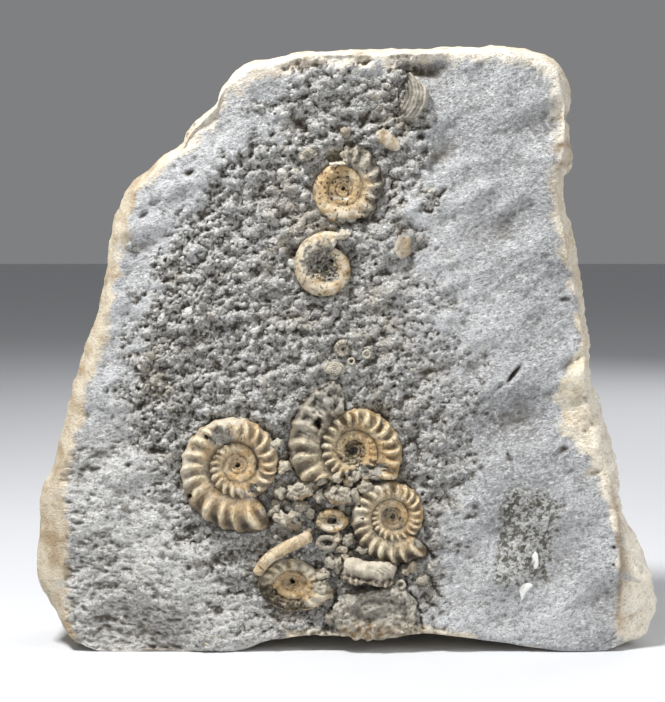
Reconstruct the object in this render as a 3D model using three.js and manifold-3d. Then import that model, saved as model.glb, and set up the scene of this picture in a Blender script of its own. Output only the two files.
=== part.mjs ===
// Ammonite fossil cluster: coiled shells and a few bivalves lying in a freestanding slab of grey marl.
// Millimetres, +Z up. The slab stands on two feet at z = 0 and its fossil face looks towards -Y.
import * as THREE from "three";
import { mergeVertices } from "three/addons/utils/BufferGeometryUtils.js";
import Module from "manifold-3d";

const wasm = await Module();
wasm.setup();

const TURN = Math.PI * 2;

// The slab: its thickness, and the depths at which its four cross-sections lie behind the fossil face.
const SLAB_THICKNESS = 38;
const FRONT_Y = -SLAB_THICKNESS / 2;
const EDGE_DROP = 0.8;
const GIRTH_DEPTH = 9;
const WAIST_DEPTH = 27;
const BACK_EDGE_DEPTH = 36.8;
const WAIST_SCALE = 0.99;
const BACK_SCALE = 0.955;
const CELLS_ACROSS = 16;
const CELLS_UP = 14;

// Clearance kept between a shell and the pocket that it lies in.
const GAP = 0.3;

// The edges of the fossil face, each a list of [x, z]: left and right run upwards, the others to the right.
const FACE_EDGES = {
  left: [[-63, 1.2], [-67.8, 5], [-68.6, 18.5], [-68.2, 31], [-69.4, 41], [-67.4, 48.5], [-62.4, 65],
    [-58.3, 79], [-55, 94.6], [-53.4, 103], [-50.9, 111.5]],
  right: [[66, 1.2], [66.9, 10], [67.4, 16], [66.7, 28], [65.3, 37], [61, 52], [58.6, 62], [57.4, 74],
    [55, 88], [51.4, 107], [51.8, 115], [52.3, 126], [51.5, 135], [50.5, 139.5]],
  top: [[-50.9, 111.5], [-44.6, 117.6], [-39, 121.5], [-34, 128.2], [-30, 132.5], [-26, 138.8],
    [-17, 141.6], [-7, 143], [18, 143.8], [38, 144.4], [47.5, 142], [50.5, 139.5]],
  bottom: [[-63, 1.2], [-58, 0], [-42, 0], [-27, 0], [-19, 2.6], [-10, 3.6], [9, 2.8], [18, 3.6],
    [30, 3], [44, 1.4], [54, 0], [62, 0], [66, 1.2]],
};

// The widest cross-section, a little behind the face, where the weathered flanks bulge out.
const GIRTH_EDGES = {
  left: [[-66, 1.2], [-70.8, 7.7], [-74.4, 21.8], [-74.2, 38.6], [-70.8, 47.8], [-68.4, 58.3],
    [-63.4, 75.1], [-59.8, 86.2], [-57.4, 100], [-51.4, 114.2]],
  right: [[70.5, 2], [74.4, 9], [74.4, 15], [72, 27], [67.4, 35], [66.5, 45.4], [62.6, 57], [62.2, 61.5],
    [59.5, 70.3], [57.8, 87.6], [53.3, 107.3], [52.9, 114], [54.4, 118], [54.2, 133.4], [52.1, 141.1]],
  top: [[-51.4, 114.2], [-45.1, 119.3], [-39.6, 123.2], [-34.8, 129.8], [-31, 134.2], [-26.9, 140.6],
    [-17.8, 143.8], [-7.4, 145.4], [17.8, 146], [38.4, 146.6], [48, 144.4], [52.1, 141.1]],
  bottom: [[-66, 1.2], [-59, 0], [-42, 0], [-27, 0], [-19, 2.6], [-10, 3.6], [9, 2.8], [18, 3.6],
    [30, 3], [44, 1.4], [54, 0], [65, 0], [70.5, 2]],
};

// Shallow hollows of the fossil face: centre [x, z], radii [x, z] and depth.
const FACE_HOLLOWS = [
  { centre: [2, 124], radii: [14, 19], depth: 2.6 },
  { centre: [-8, 95], radii: [30, 32], depth: 1.2 },
  { centre: [-2, 36], radii: [34, 30], depth: 1.4 },
];

// Coiled shells. centre is the hub's [x, z], rim the outer radius at the aperture, aperture its direction in
// degrees from +X towards +Z, growth how much the rim widens in one turn, and hand is 1 where the coil grows
// from +X towards +Z. wide is half the whorl's width over the rim radius, squash flattens the coil along Z,
// and sink is how far the middle plane lies behind the rock's surface. A coil with a breakHeight is broken
// away below that height.
const COILS = [
  { name: "ammonite_left", centre: [-26.2, 45.6], rim: 16.8, aperture: 300, growth: 1.92, hand: 1, ribs: 16,
    wide: 0.22, squash: 1, sink: 0.2 },
  { name: "ammonite_centre", centre: [1.9, 49.2], rim: 17.6, aperture: 105, growth: 1.82, hand: -1, ribs: 16,
    wide: 0.21, squash: 1, sink: 0.4, breakHeight: 42.8 },
  { name: "ammonite_right", centre: [11.3, 33.1], rim: 12.1, aperture: 317, growth: 1.74, hand: 1, ribs: 16,
    wide: 0.23, squash: 1, sink: 0.2 },
  { name: "ammonite_lower", centre: [-12.8, 17], rim: 10.4, aperture: 345, growth: 1.6, hand: 1, ribs: 14,
    wide: 0.24, squash: 0.74, sink: 0.3 },
  { name: "ammonite_top", centre: [-0.6, 112], rim: 11.6, aperture: 95, growth: 1.8, hand: 1, ribs: 14,
    wide: 0.22, squash: 1, sink: 0.3 },
  { name: "ammonite_upper", centre: [-4.6, 93.4], rim: 9.1, aperture: 70, growth: 1.7, hand: -1, ribs: 0,
    wide: 0.26, squash: 1, sink: 0.2 },
  { name: "ammonite_small", centre: [-3.4, 32.2], rim: 4.1, aperture: 20, growth: 1.7, hand: 1, ribs: 0,
    wide: 0.4, squash: 0.74, sink: 0.2 },
  { name: "ammonite_tiny", centre: [-0.7, 73.7], rim: 2.5, aperture: 60, growth: 1.7, hand: -1, ribs: 0,
    wide: 0.4, squash: 1, sink: 0.3 },
];
const WHORL_HALF_HEIGHT = 0.27;
const RIB_HEIGHT = 0.055;
const COIL_TURNS = 1.5;
const COIL_SIDES = 6;
const PLAIN_STEPS = 6;
const HUB_SIDES = 10;
const POCKET_SIDES = 18;
const POCKET_TAPER = 0.8;

// Shells and lumps without a visible coil: half sizes are [x, y, z], lean turns them in the face's plane.
const LUMPS = [
  { name: "ammonite_edge_on", centre: [5.6, 19.6], half: [6.4, 2.8, 3.1], lean: -6, sink: 0.1, detail: 2 },
  { name: "ammonite_worn", centre: [7.2, 10], half: [10.6, 3.4, 5.6], lean: 6, sink: 0.3, detail: 2 },
  { name: "bivalve_shell", centre: [15.6, 134.2], half: [3.5, 1.9, 5.2], lean: -8, sink: 0.2, detail: 2 },
  { name: "shell_flat", centre: [10.1, 123.7], half: [3.5, 0.9, 1.7], lean: -35, sink: 0.2, detail: 1 },
  { name: "shell_flake", centre: [13.7, 98.5], half: [2, 0.8, 2.7], lean: -10, sink: 0.2, detail: 1 },
  { name: "shell_oval", centre: [-2.8, 69.1], half: [2.8, 0.9, 1.7], lean: -5, sink: 0.2, detail: 1 },
  { name: "shell_lump_left", centre: [-11.2, 39.4], half: [2.9, 1.9, 2.1], lean: 10, sink: 0.3, detail: 1 },
  { name: "shell_lump_right", centre: [-1.7, 38.5], half: [3.3, 2, 2.3], lean: -12, sink: 0.3, detail: 1 },
];

// The smooth whorl seen on edge is a bent round bar: its middle line as [x, z], and its radius.
const EDGE_WHORL = {
  name: "whorl_on_edge",
  path: [[-20.9, 20.6], [-19.6, 22.4], [-16.6, 24.7], [-12.2, 27.1], [-9.8, 28.1], [-7.8, 28.9]],
  radius: 1.25,
  proud: 1,
  steps: 9,
  sides: 8,
};

// Colours from the rock and the shells.
const MARL = { color: 0xa6a9aa, roughness: 0.92, metalness: 0 };
const HONEY_CALCITE = { color: 0xb39a74, roughness: 0.6, metalness: 0 };
const PALE_SHELL = { color: 0xbfb5a2, roughness: 0.65, metalness: 0 };

function radians(degrees) {
  return (degrees * TURN) / 360;
}

function gaussian(x, z, { centre, radii, depth }) {
  const across = (x - centre[0]) / radii[0];
  const up = (z - centre[1]) / radii[1];
  return depth * Math.exp(-(across * across + up * up));
}

function faceY(x, z) {
  const hollows = FACE_HOLLOWS.reduce((sum, hollow) => sum + gaussian(x, z, hollow), 0);
  const roll = 0.35 * Math.sin(x * 0.21 + 1) * Math.cos(z * 0.17);
  return FRONT_Y + hollows + roll;
}

function backY(x, z) {
  return -FRONT_Y - 0.5 + 0.5 * Math.sin(x * 0.11) * Math.cos(z * 0.09 + 0.6);
}

// A closed body from a list of triangles, each three points; neighbours share their points.
function solidFromTriangles(triangles) {
  const soup = new THREE.BufferGeometry();
  const values = triangles.flat().flatMap((point) => [point.x, point.y, point.z]);
  soup.setAttribute("position", new THREE.Float32BufferAttribute(values, 3));
  return solidFromGeometry(soup);
}

function solidFromGeometry(geometry) {
  const bare = geometry.clone();
  bare.deleteAttribute("normal");
  bare.deleteAttribute("uv");
  const merged = mergeVertices(bare, 1e-4);
  const position = merged.getAttribute("position");
  const mesh = new wasm.Mesh({
    numProp: 3,
    vertProperties: new Float32Array(position.array),
    triVerts: new Uint32Array(merged.getIndex().array),
  });
  return new wasm.Manifold(mesh);
}

function geometryFromSolid(solid) {
  const mesh = solid.getMesh();
  const geometry = new THREE.BufferGeometry();
  geometry.setAttribute("position", new THREE.BufferAttribute(new Float32Array(mesh.vertProperties), 3));
  geometry.setIndex(new THREE.BufferAttribute(new Uint32Array(mesh.triVerts), 1));
  geometry.computeVertexNormals();
  return geometry;
}

function addQuad(triangles, a, b, c, d) {
  triangles.push([a, b, c], [a, c, d]);
}

// Evenly spaced points along an edge; nothing dips below the feet.
function edgePoints(corners, cells) {
  const curve = new THREE.CatmullRomCurve3(corners.map(([x, z]) => new THREE.Vector3(x, 0, z)));
  return curve.getSpacedPoints(cells).map((point) => new THREE.Vector2(point.x, Math.max(0, point.z)));
}

function sampleOutline(edges) {
  return {
    left: edgePoints(edges.left, CELLS_UP),
    right: edgePoints(edges.right, CELLS_UP),
    top: edgePoints(edges.top, CELLS_ACROSS),
    bottom: edgePoints(edges.bottom, CELLS_ACROSS),
  };
}

// A Coons patch: the grid of points that four sampled edges span.
function patchPoint(outline, i, j) {
  const u = i / CELLS_ACROSS;
  const v = j / CELLS_UP;
  const { left, right, top, bottom } = outline;
  const blend = (key) => {
    const upDown = (1 - v) * bottom[i][key] + v * top[i][key];
    const sideways = (1 - u) * left[j][key] + u * right[j][key];
    const low = (1 - u) * bottom[0][key] + u * bottom[CELLS_ACROSS][key];
    const high = (1 - u) * top[0][key] + u * top[CELLS_ACROSS][key];
    return upDown + sideways - (1 - v) * low - v * high;
  };
  return new THREE.Vector2(blend("x"), blend("y"));
}

function patchGrid(outline, depthAt, edgeY) {
  const rows = [];
  for (let j = 0; j <= CELLS_UP; j += 1) {
    const row = [];
    for (let i = 0; i <= CELLS_ACROSS; i += 1) {
      const flat = patchPoint(outline, i, j);
      const onEdge = i === 0 || j === 0 || i === CELLS_ACROSS || j === CELLS_UP;
      row.push(new THREE.Vector3(flat.x, onEdge ? edgeY : depthAt(flat.x, flat.y), flat.y));
    }
    rows.push(row);
  }
  return rows;
}

function gridRim(rows) {
  const bottom = rows[0].slice(0, -1);
  const right = rows.slice(0, -1).map((row) => row[CELLS_ACROSS]);
  const top = rows[CELLS_UP].slice(1).reverse();
  const left = rows.slice(1).reverse().map((row) => row[0]);
  return [...bottom, ...right, ...top, ...left];
}

function scaleOutline(outline, scale) {
  const shrink = (points) => points.map((point) => new THREE.Vector2(point.x * scale, point.y * scale));
  const { left, right, top, bottom } = outline;
  return { left: shrink(left), right: shrink(right), top: shrink(top), bottom: shrink(bottom) };
}

function slabSolid() {
  const face = sampleOutline(FACE_EDGES);
  const girth = sampleOutline(GIRTH_EDGES);
  const front = patchGrid(face, faceY, FRONT_Y + EDGE_DROP);
  const widest = patchGrid(girth, () => 0, FRONT_Y + GIRTH_DEPTH);
  const waist = patchGrid(scaleOutline(girth, WAIST_SCALE), () => 0, FRONT_Y + WAIST_DEPTH);
  const back = patchGrid(scaleOutline(girth, BACK_SCALE), backY, FRONT_Y + BACK_EDGE_DEPTH);
  const triangles = [];
  for (let j = 0; j < CELLS_UP; j += 1) {
    for (let i = 0; i < CELLS_ACROSS; i += 1) {
      addQuad(triangles, front[j][i], front[j][i + 1], front[j + 1][i + 1], front[j + 1][i]);
      addQuad(triangles, back[j][i], back[j + 1][i], back[j + 1][i + 1], back[j][i + 1]);
    }
  }
  const rims = [front, widest, waist, back].map(gridRim);
  const count = rims[0].length;
  for (let k = 0; k + 1 < rims.length; k += 1) {
    for (let m = 0; m < count; m += 1) {
      const next = (m + 1) % count;
      addQuad(triangles, rims[k][m], rims[k + 1][m], rims[k + 1][next], rims[k][next]);
    }
  }
  return solidFromTriangles(triangles);
}

// A closed body through a run of rings with equal numbers of points, its ends closed by fans.
function solidThroughRings(rings) {
  const triangles = [];
  const sides = rings[0].length;
  for (let i = 0; i + 1 < rings.length; i += 1) {
    for (let j = 0; j < sides; j += 1) {
      const next = (j + 1) % sides;
      addQuad(triangles, rings[i][j], rings[i][next], rings[i + 1][next], rings[i + 1][j]);
    }
  }
  const fan = (ring, flip) => {
    const middle = ring.reduce((sum, point) => sum.add(point), new THREE.Vector3()).divideScalar(sides);
    for (let j = 0; j < sides; j += 1) {
      const next = (j + 1) % sides;
      triangles.push(flip ? [middle, ring[next], ring[j]] : [middle, ring[j], ring[next]]);
    }
  };
  fan(rings[0], true);
  fan(rings.at(-1), false);
  const outward = signedVolume(triangles) > 0;
  return solidFromTriangles(outward ? triangles : triangles.map(([a, b, c]) => [a, c, b]));
}

function signedVolume(triangles) {
  return triangles.reduce((sum, [a, b, c]) => sum + a.dot(b.clone().cross(c)), 0) / 6;
}

// One section of a coil, a given number of turns before the aperture.
function coilRing(coil, turnsBack, isFurrow) {
  const rim = coil.rim * coil.growth ** -turnsBack;
  const angle = radians(coil.aperture) - coil.hand * turnsBack * TURN;
  const high = rim * WHORL_HALF_HEIGHT;
  const middle = rim - high;
  const relief = isFurrow ? rim * RIB_HEIGHT : 0;
  const tall = high - relief / 2;
  const wide = rim * coil.wide - relief;
  const ring = [];
  for (let side = 0; side < COIL_SIDES; side += 1) {
    const around = (side / COIL_SIDES) * TURN;
    const radius = middle + tall * Math.cos(around);
    const depth = wide * Math.sin(around);
    ring.push(new THREE.Vector3(Math.cos(angle) * radius, depth, Math.sin(angle) * radius));
  }
  return ring;
}

function coilStretch(coil, from, to, steps, isRibbed) {
  const rings = [];
  for (let step = 0; step <= steps; step += 1) {
    const turnsBack = from + ((to - from) * step) / steps;
    rings.push(coilRing(coil, turnsBack, isRibbed && step % 2 === 1));
  }
  return solidThroughRings(rings);
}

function hubSolid(radius, halfWidth) {
  const hub = new THREE.SphereGeometry(1, HUB_SIDES, 4);
  hub.rotateX(TURN / 4);
  hub.scale(radius, halfWidth, radius);
  return solidFromGeometry(hub);
}

function placeCoil(solid, coil, swell) {
  const [x, z] = coil.centre;
  const placed = solid.scale([1, 1, coil.squash]).translate([x, faceY(x, z) + coil.sink, z]);
  const isBroken = coil.breakHeight !== undefined;
  return largestBody(isBroken ? placed.trimByPlane([0, 0, 1], coil.breakHeight - swell) : placed);
}

// The whole shell: half turns joined one after another, ribbed on the outer turn, and a hub in the middle.
function coilSolid(coil) {
  const isRibbed = coil.ribs > 0;
  const outerSteps = isRibbed ? coil.ribs : PLAIN_STEPS;
  let shell = coilStretch(coil, 0, 0.5, outerSteps, isRibbed);
  shell = shell.add(coilStretch(coil, 0.5, 1, outerSteps, isRibbed));
  shell = shell.add(coilStretch(coil, 1, COIL_TURNS, PLAIN_STEPS, false));
  const inner = coil.rim * coil.growth ** -COIL_TURNS;
  return placeCoil(shell.add(hubSolid(inner * 1.15, inner * coil.wide * 1.4)), coil, 0);
}

// The room that a coil takes in the rock: a shallow pan with the coil's outline and clearance all round.
function coilRoom(coil) {
  const swell = GAP + 0.25;
  const halfWidth = coil.rim * coil.wide + swell;
  const pan = [[-halfWidth, POCKET_TAPER], [0, 1], [halfWidth, POCKET_TAPER]];
  const rings = pan.map(([y, taper]) => {
    const ring = [];
    for (let side = 0; side < POCKET_SIDES; side += 1) {
      const turnsBack = side / POCKET_SIDES;
      const angle = radians(coil.aperture) - coil.hand * turnsBack * TURN;
      const radius = (coil.rim * coil.growth ** -turnsBack + swell) * taper;
      ring.push(new THREE.Vector3(Math.cos(angle) * radius, y, Math.sin(angle) * radius));
    }
    return ring;
  });
  return placeCoil(solidThroughRings(rings), coil, swell);
}

// A rounded, slightly uneven lump. swell widens it all round.
function lumpSolid(lump, swell) {
  const ball = new THREE.IcosahedronGeometry(1, lump.detail);
  const position = ball.getAttribute("position");
  const point = new THREE.Vector3();
  for (let index = 0; index < position.count; index += 1) {
    point.fromBufferAttribute(position, index);
    const uneven = 1 + 0.05 * Math.sin(point.x * 5 + lump.half[0]) * Math.cos(point.z * 4 + lump.half[2]);
    point.set(
      point.x * (lump.half[0] * uneven + swell),
      point.y * (lump.half[1] * uneven + swell),
      point.z * (lump.half[2] * uneven + swell),
    );
    position.setXYZ(index, point.x, point.y, point.z);
  }
  ball.rotateY(-radians(lump.lean));
  const [x, z] = lump.centre;
  return solidFromGeometry(ball).translate([x, faceY(x, z) + lump.sink, z]);
}

function edgeWhorlSolid(swell) {
  const { path, radius, proud, steps, sides } = EDGE_WHORL;
  const line = new THREE.CatmullRomCurve3(
    path.map(([x, z]) => new THREE.Vector3(x, faceY(x, z) - proud, z)),
  );
  const rings = [];
  for (let step = 0; step <= steps; step += 1) {
    const end = step === 0 ? -swell : step === steps ? swell : 0;
    const centre = line.getPointAt(step / steps);
    const along = line.getTangentAt(step / steps);
    const across = new THREE.Vector3(-along.z, 0, along.x).normalize();
    const outward = new THREE.Vector3().crossVectors(along, across);
    centre.addScaledVector(along, end);
    const ring = [];
    for (let side = 0; side < sides; side += 1) {
      const around = (side / sides) * TURN;
      const spoke = across.clone().multiplyScalar(Math.cos(around));
      spoke.addScaledVector(outward, Math.sin(around));
      ring.push(centre.clone().addScaledVector(spoke, radius + swell));
    }
    rings.push(ring);
  }
  return solidThroughRings(rings);
}

// The largest body of a solid, so that a cut leaves no loose splinter.
function largestBody(solid) {
  const bodies = solid.decompose();
  return bodies.reduce((best, body) => (body.volume() > best.volume() ? body : best));
}

function buildPieces() {
  const pieces = [];
  for (const coil of COILS) {
    pieces.push({ name: coil.name, solid: coilSolid(coil), room: coilRoom(coil), finish: HONEY_CALCITE });
  }
  pieces.push({
    name: EDGE_WHORL.name,
    solid: edgeWhorlSolid(0),
    room: edgeWhorlSolid(GAP + 0.1),
    finish: HONEY_CALCITE,
  });
  for (const lump of LUMPS) {
    const room = lumpSolid(lump, GAP + 0.1);
    pieces.push({ name: lump.name, solid: lumpSolid(lump, 0), room, finish: PALE_SHELL });
  }
  return pieces;
}

// Each shell gives way to the ones before it in the list, and the rock gives way to them all.
function fitTogether(pieces) {
  let rock = slabSolid();
  pieces.forEach((piece, index) => {
    for (const earlier of pieces.slice(0, index)) {
      if (piece.solid.intersect(earlier.room).volume() > 0) {
        piece.solid = largestBody(piece.solid.subtract(earlier.room));
      }
    }
    rock = largestBody(rock.subtract(piece.room));
  });
  return rock;
}

function makeMesh(name, solid, finish) {
  const mesh = new THREE.Mesh(geometryFromSolid(solid), new THREE.MeshStandardMaterial(finish));
  mesh.name = name;
  return mesh;
}

const cluster = new THREE.Group();
cluster.name = "ammonite_fossil_cluster";
const pieces = buildPieces();
cluster.add(makeMesh("matrix_slab", fitTogether(pieces), MARL));
for (const piece of pieces) {
  cluster.add(makeMesh(piece.name, piece.solid, piece.finish));
}

// The origin is the middle of the whole cluster's footprint.
const box = new THREE.Box3().setFromObject(cluster);
for (const mesh of cluster.children) {
  mesh.position.set(-(box.min.x + box.max.x) / 2, -(box.min.y + box.max.y) / 2, -box.min.z);
}

export default cluster;
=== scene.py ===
import math

import bmesh
import bpy
import numpy as np
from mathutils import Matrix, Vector


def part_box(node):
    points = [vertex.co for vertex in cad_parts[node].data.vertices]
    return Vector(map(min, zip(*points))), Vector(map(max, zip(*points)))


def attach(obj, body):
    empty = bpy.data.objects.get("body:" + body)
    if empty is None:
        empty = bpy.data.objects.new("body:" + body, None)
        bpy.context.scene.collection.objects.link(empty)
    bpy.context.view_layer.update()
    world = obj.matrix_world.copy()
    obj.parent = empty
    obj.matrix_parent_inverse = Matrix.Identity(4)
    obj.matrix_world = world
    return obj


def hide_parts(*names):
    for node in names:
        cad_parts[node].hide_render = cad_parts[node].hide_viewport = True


# Ammonite fossil cluster: a freestanding slab of grey marl, cream where it has weathered, with coiled
# shells, bivalves and broken shell standing out of its rough face. Places below are in millimetres in
# the part's frame: x to the right, z up, and depth is counted into the rock from the face.
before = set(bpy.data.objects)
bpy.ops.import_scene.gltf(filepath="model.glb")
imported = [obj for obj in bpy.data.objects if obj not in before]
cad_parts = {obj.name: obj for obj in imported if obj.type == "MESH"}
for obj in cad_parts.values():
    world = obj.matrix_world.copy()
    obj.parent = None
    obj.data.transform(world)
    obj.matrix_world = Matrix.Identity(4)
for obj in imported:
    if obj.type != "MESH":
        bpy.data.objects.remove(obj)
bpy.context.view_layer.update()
MM = 0.001
TURN = math.tau

SLAB_LOW, SLAB_HIGH = [np.array(corner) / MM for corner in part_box("matrix_slab")]
FACE_Y = SLAB_LOW[1]
MIDDLE_Z = 70.0

# The edges of the fossil face as [x, z]: left and right run upwards, top and bottom to the right.
FACE_EDGES = {
    "left": [(-63, 1.2), (-67.8, 5), (-68.6, 18.5), (-68.2, 31), (-69.4, 41), (-67.4, 48.5), (-62.4, 65),
             (-58.3, 79), (-55, 94.6), (-53.4, 103), (-50.9, 111.5)],
    "right": [(66, 1.2), (66.9, 10), (67.4, 16), (66.7, 28), (65.3, 37), (61, 52), (58.6, 62), (57.4, 74),
              (55, 88), (51.4, 107), (51.2, 113), (52.3, 120), (52.3, 130), (51.5, 136), (50.5, 140)],
    "top": [(-50.9, 111.5), (-44.6, 117.6), (-39, 121.5), (-37, 125), (-34, 128.2), (-31, 131), (-29.4, 135),
            (-26, 138.8), (-22, 141), (-17, 142), (-7, 143.6), (6, 144), (18, 144.2), (38, 144.9), (46, 143),
            (50.5, 140)],
    "bottom": [(-63, 1.2), (-58, 0), (-42, 0), (-27, 0), (-19, 2.6), (-10, 3.8), (-3, 4.2), (4, 3.2),
               (9, 2.8), (14, 3.8), (19, 4.4), (30, 3.4), (44, 1.4), (54, 0), (62, 0), (66, 1.2)],
}
# The widest outline, a little behind the face.
GIRTH_EDGES = {
    "left": [(-66, 1.2), (-70.8, 7.7), (-73.2, 14.4), (-74.4, 21.8), (-74.6, 28.6), (-74.2, 38.6),
             (-72.5, 43), (-70.8, 47.8), (-68.4, 58.3), (-63.4, 75.1), (-59.8, 86.2), (-58.3, 94.6),
             (-56.4, 104.6), (-54.2, 110.2), (-51.4, 114.2)],
    "right": [(70.5, 2), (73.4, 5.5), (74.6, 11), (74.2, 15.5), (73.4, 20.4), (71.4, 27.1), (68.6, 31.4),
              (67.2, 36), (66.5, 45.4), (64.3, 52.1), (62.8, 57.4), (62.4, 61.4), (60.7, 65.3), (59.5, 70.3),
              (58.3, 80.6), (57.6, 88), (55.8, 100), (53.3, 107.3), (52.6, 113), (52.9, 115.6),
              (54.5, 117.4), (54.3, 126.4), (53.3, 129.6), (54.1, 132), (54, 136.8), (52.1, 141.1)],
    "top": [(-51.4, 114.2), (-45.1, 119.3), (-39.8, 122.9), (-38.2, 126.2), (-34.8, 129.8), (-31.6, 133),
            (-30, 136.8), (-26.9, 140.6), (-23.8, 142.6), (-17.8, 143.8), (-7.4, 145.4), (2.4, 145.8),
            (17.8, 145.9), (26, 146.5), (38.4, 146.7), (45, 145.6), (49.4, 143.8), (52.1, 141.1)],
    "bottom": [(-66, 1.2), (-59, 0), (-42, 0), (-27, 0), (-19, 2.6), (-10, 3.8), (-3, 4.2), (4, 3.2),
               (9, 2.8), (14, 3.8), (19, 4.4), (30, 3.4), (44, 1.4), (54, 0), (65, 0), (70.5, 2)],
}
# Distance behind the face of the edge's roll, the girth, the waist and the back rim, with their scales.
FLANK_STATIONS = [(0.9, "face", 1.0), (9.0, "girth", 1.0), (27.0, "girth", 0.99), (36.8, "girth", 0.955)]
FACE_STEP = 0.3
FLANK_STEP = 1.5
# Kept places of the last ring at the back, one in this many, and the rings inside it.
BACK_THINNING = 6
BACK_RINGS = 36
SLAB_TRIANGLES = 192000

# Where the rock is rough and granular, and a worn olive patch with coarse speckles.
ROUGH_OUTLINE = [
    (-12, 142), (17, 142), (19, 128), (18, 104), (22, 88), (30, 70), (34, 56), (30, 42), (26, 34), (22, 14),
    (18, 4), (-18, 3), (-30, 14), (-40, 28), (-47, 42), (-54, 62), (-50, 84), (-44, 98), (-34, 110),
    (-20, 126),
]
RUBBLE_OUTLINE = [
    (-18, 56), (-13, 45), (6, 44), (3, 29), (9, 22), (21, 22), (22, 4), (-4, 3), (-6, 24), (-10, 29),
    (-18, 30),
]
PATCH_OUTLINE = [
    (39.8, 41.3), (37.4, 37), (37.2, 28.6), (35, 18.5), (38.4, 15.8), (49, 16.8), (49.2, 22.8), (50.9, 29.3),
    (52.3, 36), (47.5, 40.1),
]

# Hollows of the face: x, z, radius along, radius across, lean in degrees and depth.
HOLLOWS = [
    (2, 123, 19, 14, 90, 1.7), (-8, 95, 32, 24, 90, 0.9), (-2, 36, 32, 28, 0, 1.0),
    (15.8, 140.5, 5.5, 1.7, -6, 2.6), (17.8, 124.8, 1.2, 1.0, 0, 2.6), (-2.5, 119.8, 2.1, 1.5, -15, 3.4),
    (-11, 128, 3.2, 1.6, -50, 1.5), (-9.5, 124, 2.2, 1.4, -60, 1.4), (4.5, 105.2, 6.5, 1.3, -6, 1.9),
    (-12.2, 97.2, 1.7, 1.2, 10, 1.9), (9.6, 92, 1.4, 1.0, 0, 1.4), (40.3, 67.6, 1.9, 0.42, 52, 3.4),
    (36.9, 64.6, 1.5, 0.5, 40, 0.7), (23.3, 111.6, 0.9, 0.4, 40, 1.0), (-37.3, 115.9, 1.1, 0.8, 30, 1.6),
    (-16, 69.5, 5.5, 1.4, 12, 1.5), (-26.5, 74, 3.2, 1.1, 18, 1.1), (-34, 75, 2.4, 0.9, 20, 0.9),
    (-20.5, 78.5, 4.2, 1.2, 25, 1.0), (-42, 77, 2.2, 0.9, 10, 0.9), (6.5, 71, 2.8, 1.0, 30, 1.1),
    (14.5, 62, 3.2, 1.2, 50, 1.2), (17.5, 50, 1.4, 3.2, 10, 1.4), (18.5, 41, 3.4, 1.1, -30, 1.4),
    (-14.2, 47, 1.3, 2.6, 0, 1.3), (-7.8, 43.8, 3.2, 0.9, -10, 1.4), (5.2, 41.2, 3.0, 0.8, 4, 1.4),
    (-6.2, 34.9, 3.0, 0.9, -15, 1.5), (-15.4, 33.5, 3.0, 1.1, -30, 1.2), (-2.6, 27.6, 3.2, 1.1, -8, 1.4),
    (-22.5, 24.5, 1.6, 2.8, 20, 1.0), (-35.5, 30.5, 2.4, 1.3, -30, 0.8), (-38.2, 42.5, 1.2, 3.0, 5, 1.0),
    (-37, 58, 2.6, 1.2, 30, 0.9), (5.4, 15.9, 6.0, 0.8, -5, 1.4), (65, 25.7, 0.35, 0.35, 0, 1.2),
    (64.8, 21.6, 0.3, 0.3, 0, 1.0), (52.4, 85.8, 1.1, 0.6, 0, 1.0), (-48.5, 105.8, 1.4, 0.7, 35, 0.6),
    (54.5, 70.4, 5.5, 1.5, 28, 1.3), (57.4, 62.4, 5.0, 1.5, 33, 1.2), (60.4, 56.4, 3.6, 1.1, 40, 0.8),
    (51.5, 121.7, 1.2, 2.2, 0, 0.9), (52.6, 49.6, 1.3, 0.8, 10, 0.8), (60.5, 44, 2.2, 0.8, 10, 0.5),
]
# Low swellings of the face, in the same form, with heights.
SWELLINGS = [
    (-58, 84, 4, 13, -15, 0.5), (38, 30, 22, 16, 0, 0.5), (44, 104, 14, 10, 30, 0.5),
    (40, 132, 16, 6, 0, 0.6), (-45, 22, 16, 8, -30, 0.5), (12, 88, 9, 2.4, 25, 0.7),
    (25, 90, 10, 2, 25, 0.5), (32, 76, 12, 2.4, 28, 0.5), (-4, 138, 5, 3, 0, 0.7), (27, 60, 6, 1.8, 45, 0.5),
    (-38, 66, 2.2, 1.4, 0, 0.8), (-43, 56, 2.0, 1.2, 20, 0.7), (-30, 82, 2.4, 1.5, 10, 0.8),
    (-22, 90, 2.6, 1.4, 30, 0.7), (-24.5, 87.5, 1.2, 1.0, 0, 1.0), (-10, 80, 3.0, 1.6, 25, 0.8),
    (0, 84, 2.6, 1.4, 20, 0.7),
]
# Cracks as runs of [x, z] points with a width and a depth.
CRACKS = [
    ([(-2.0, 15.6), (-2.4, 12.5), (-3.3, 10.0), (-4.3, 7.2), (-4.5, 4.5)], 0.4, 2.0),
    ([(14.4, 18.0), (15.2, 15.2), (17.2, 12.2), (18.0, 8.6), (18.8, 6.0)], 0.27, 1.5),
    ([(17.6, 27.2), (21.5, 27.0), (24.0, 25.2), (27.5, 24.9)], 0.14, 0.4),
    ([(16.6, 22.6), (15.0, 19.4), (14.4, 18.0)], 0.27, 1.4),
    ([(-4.8, 23.4), (0.6, 24.8), (4.0, 24.4), (7.8, 23.6)], 0.24, 0.9),
]

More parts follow.
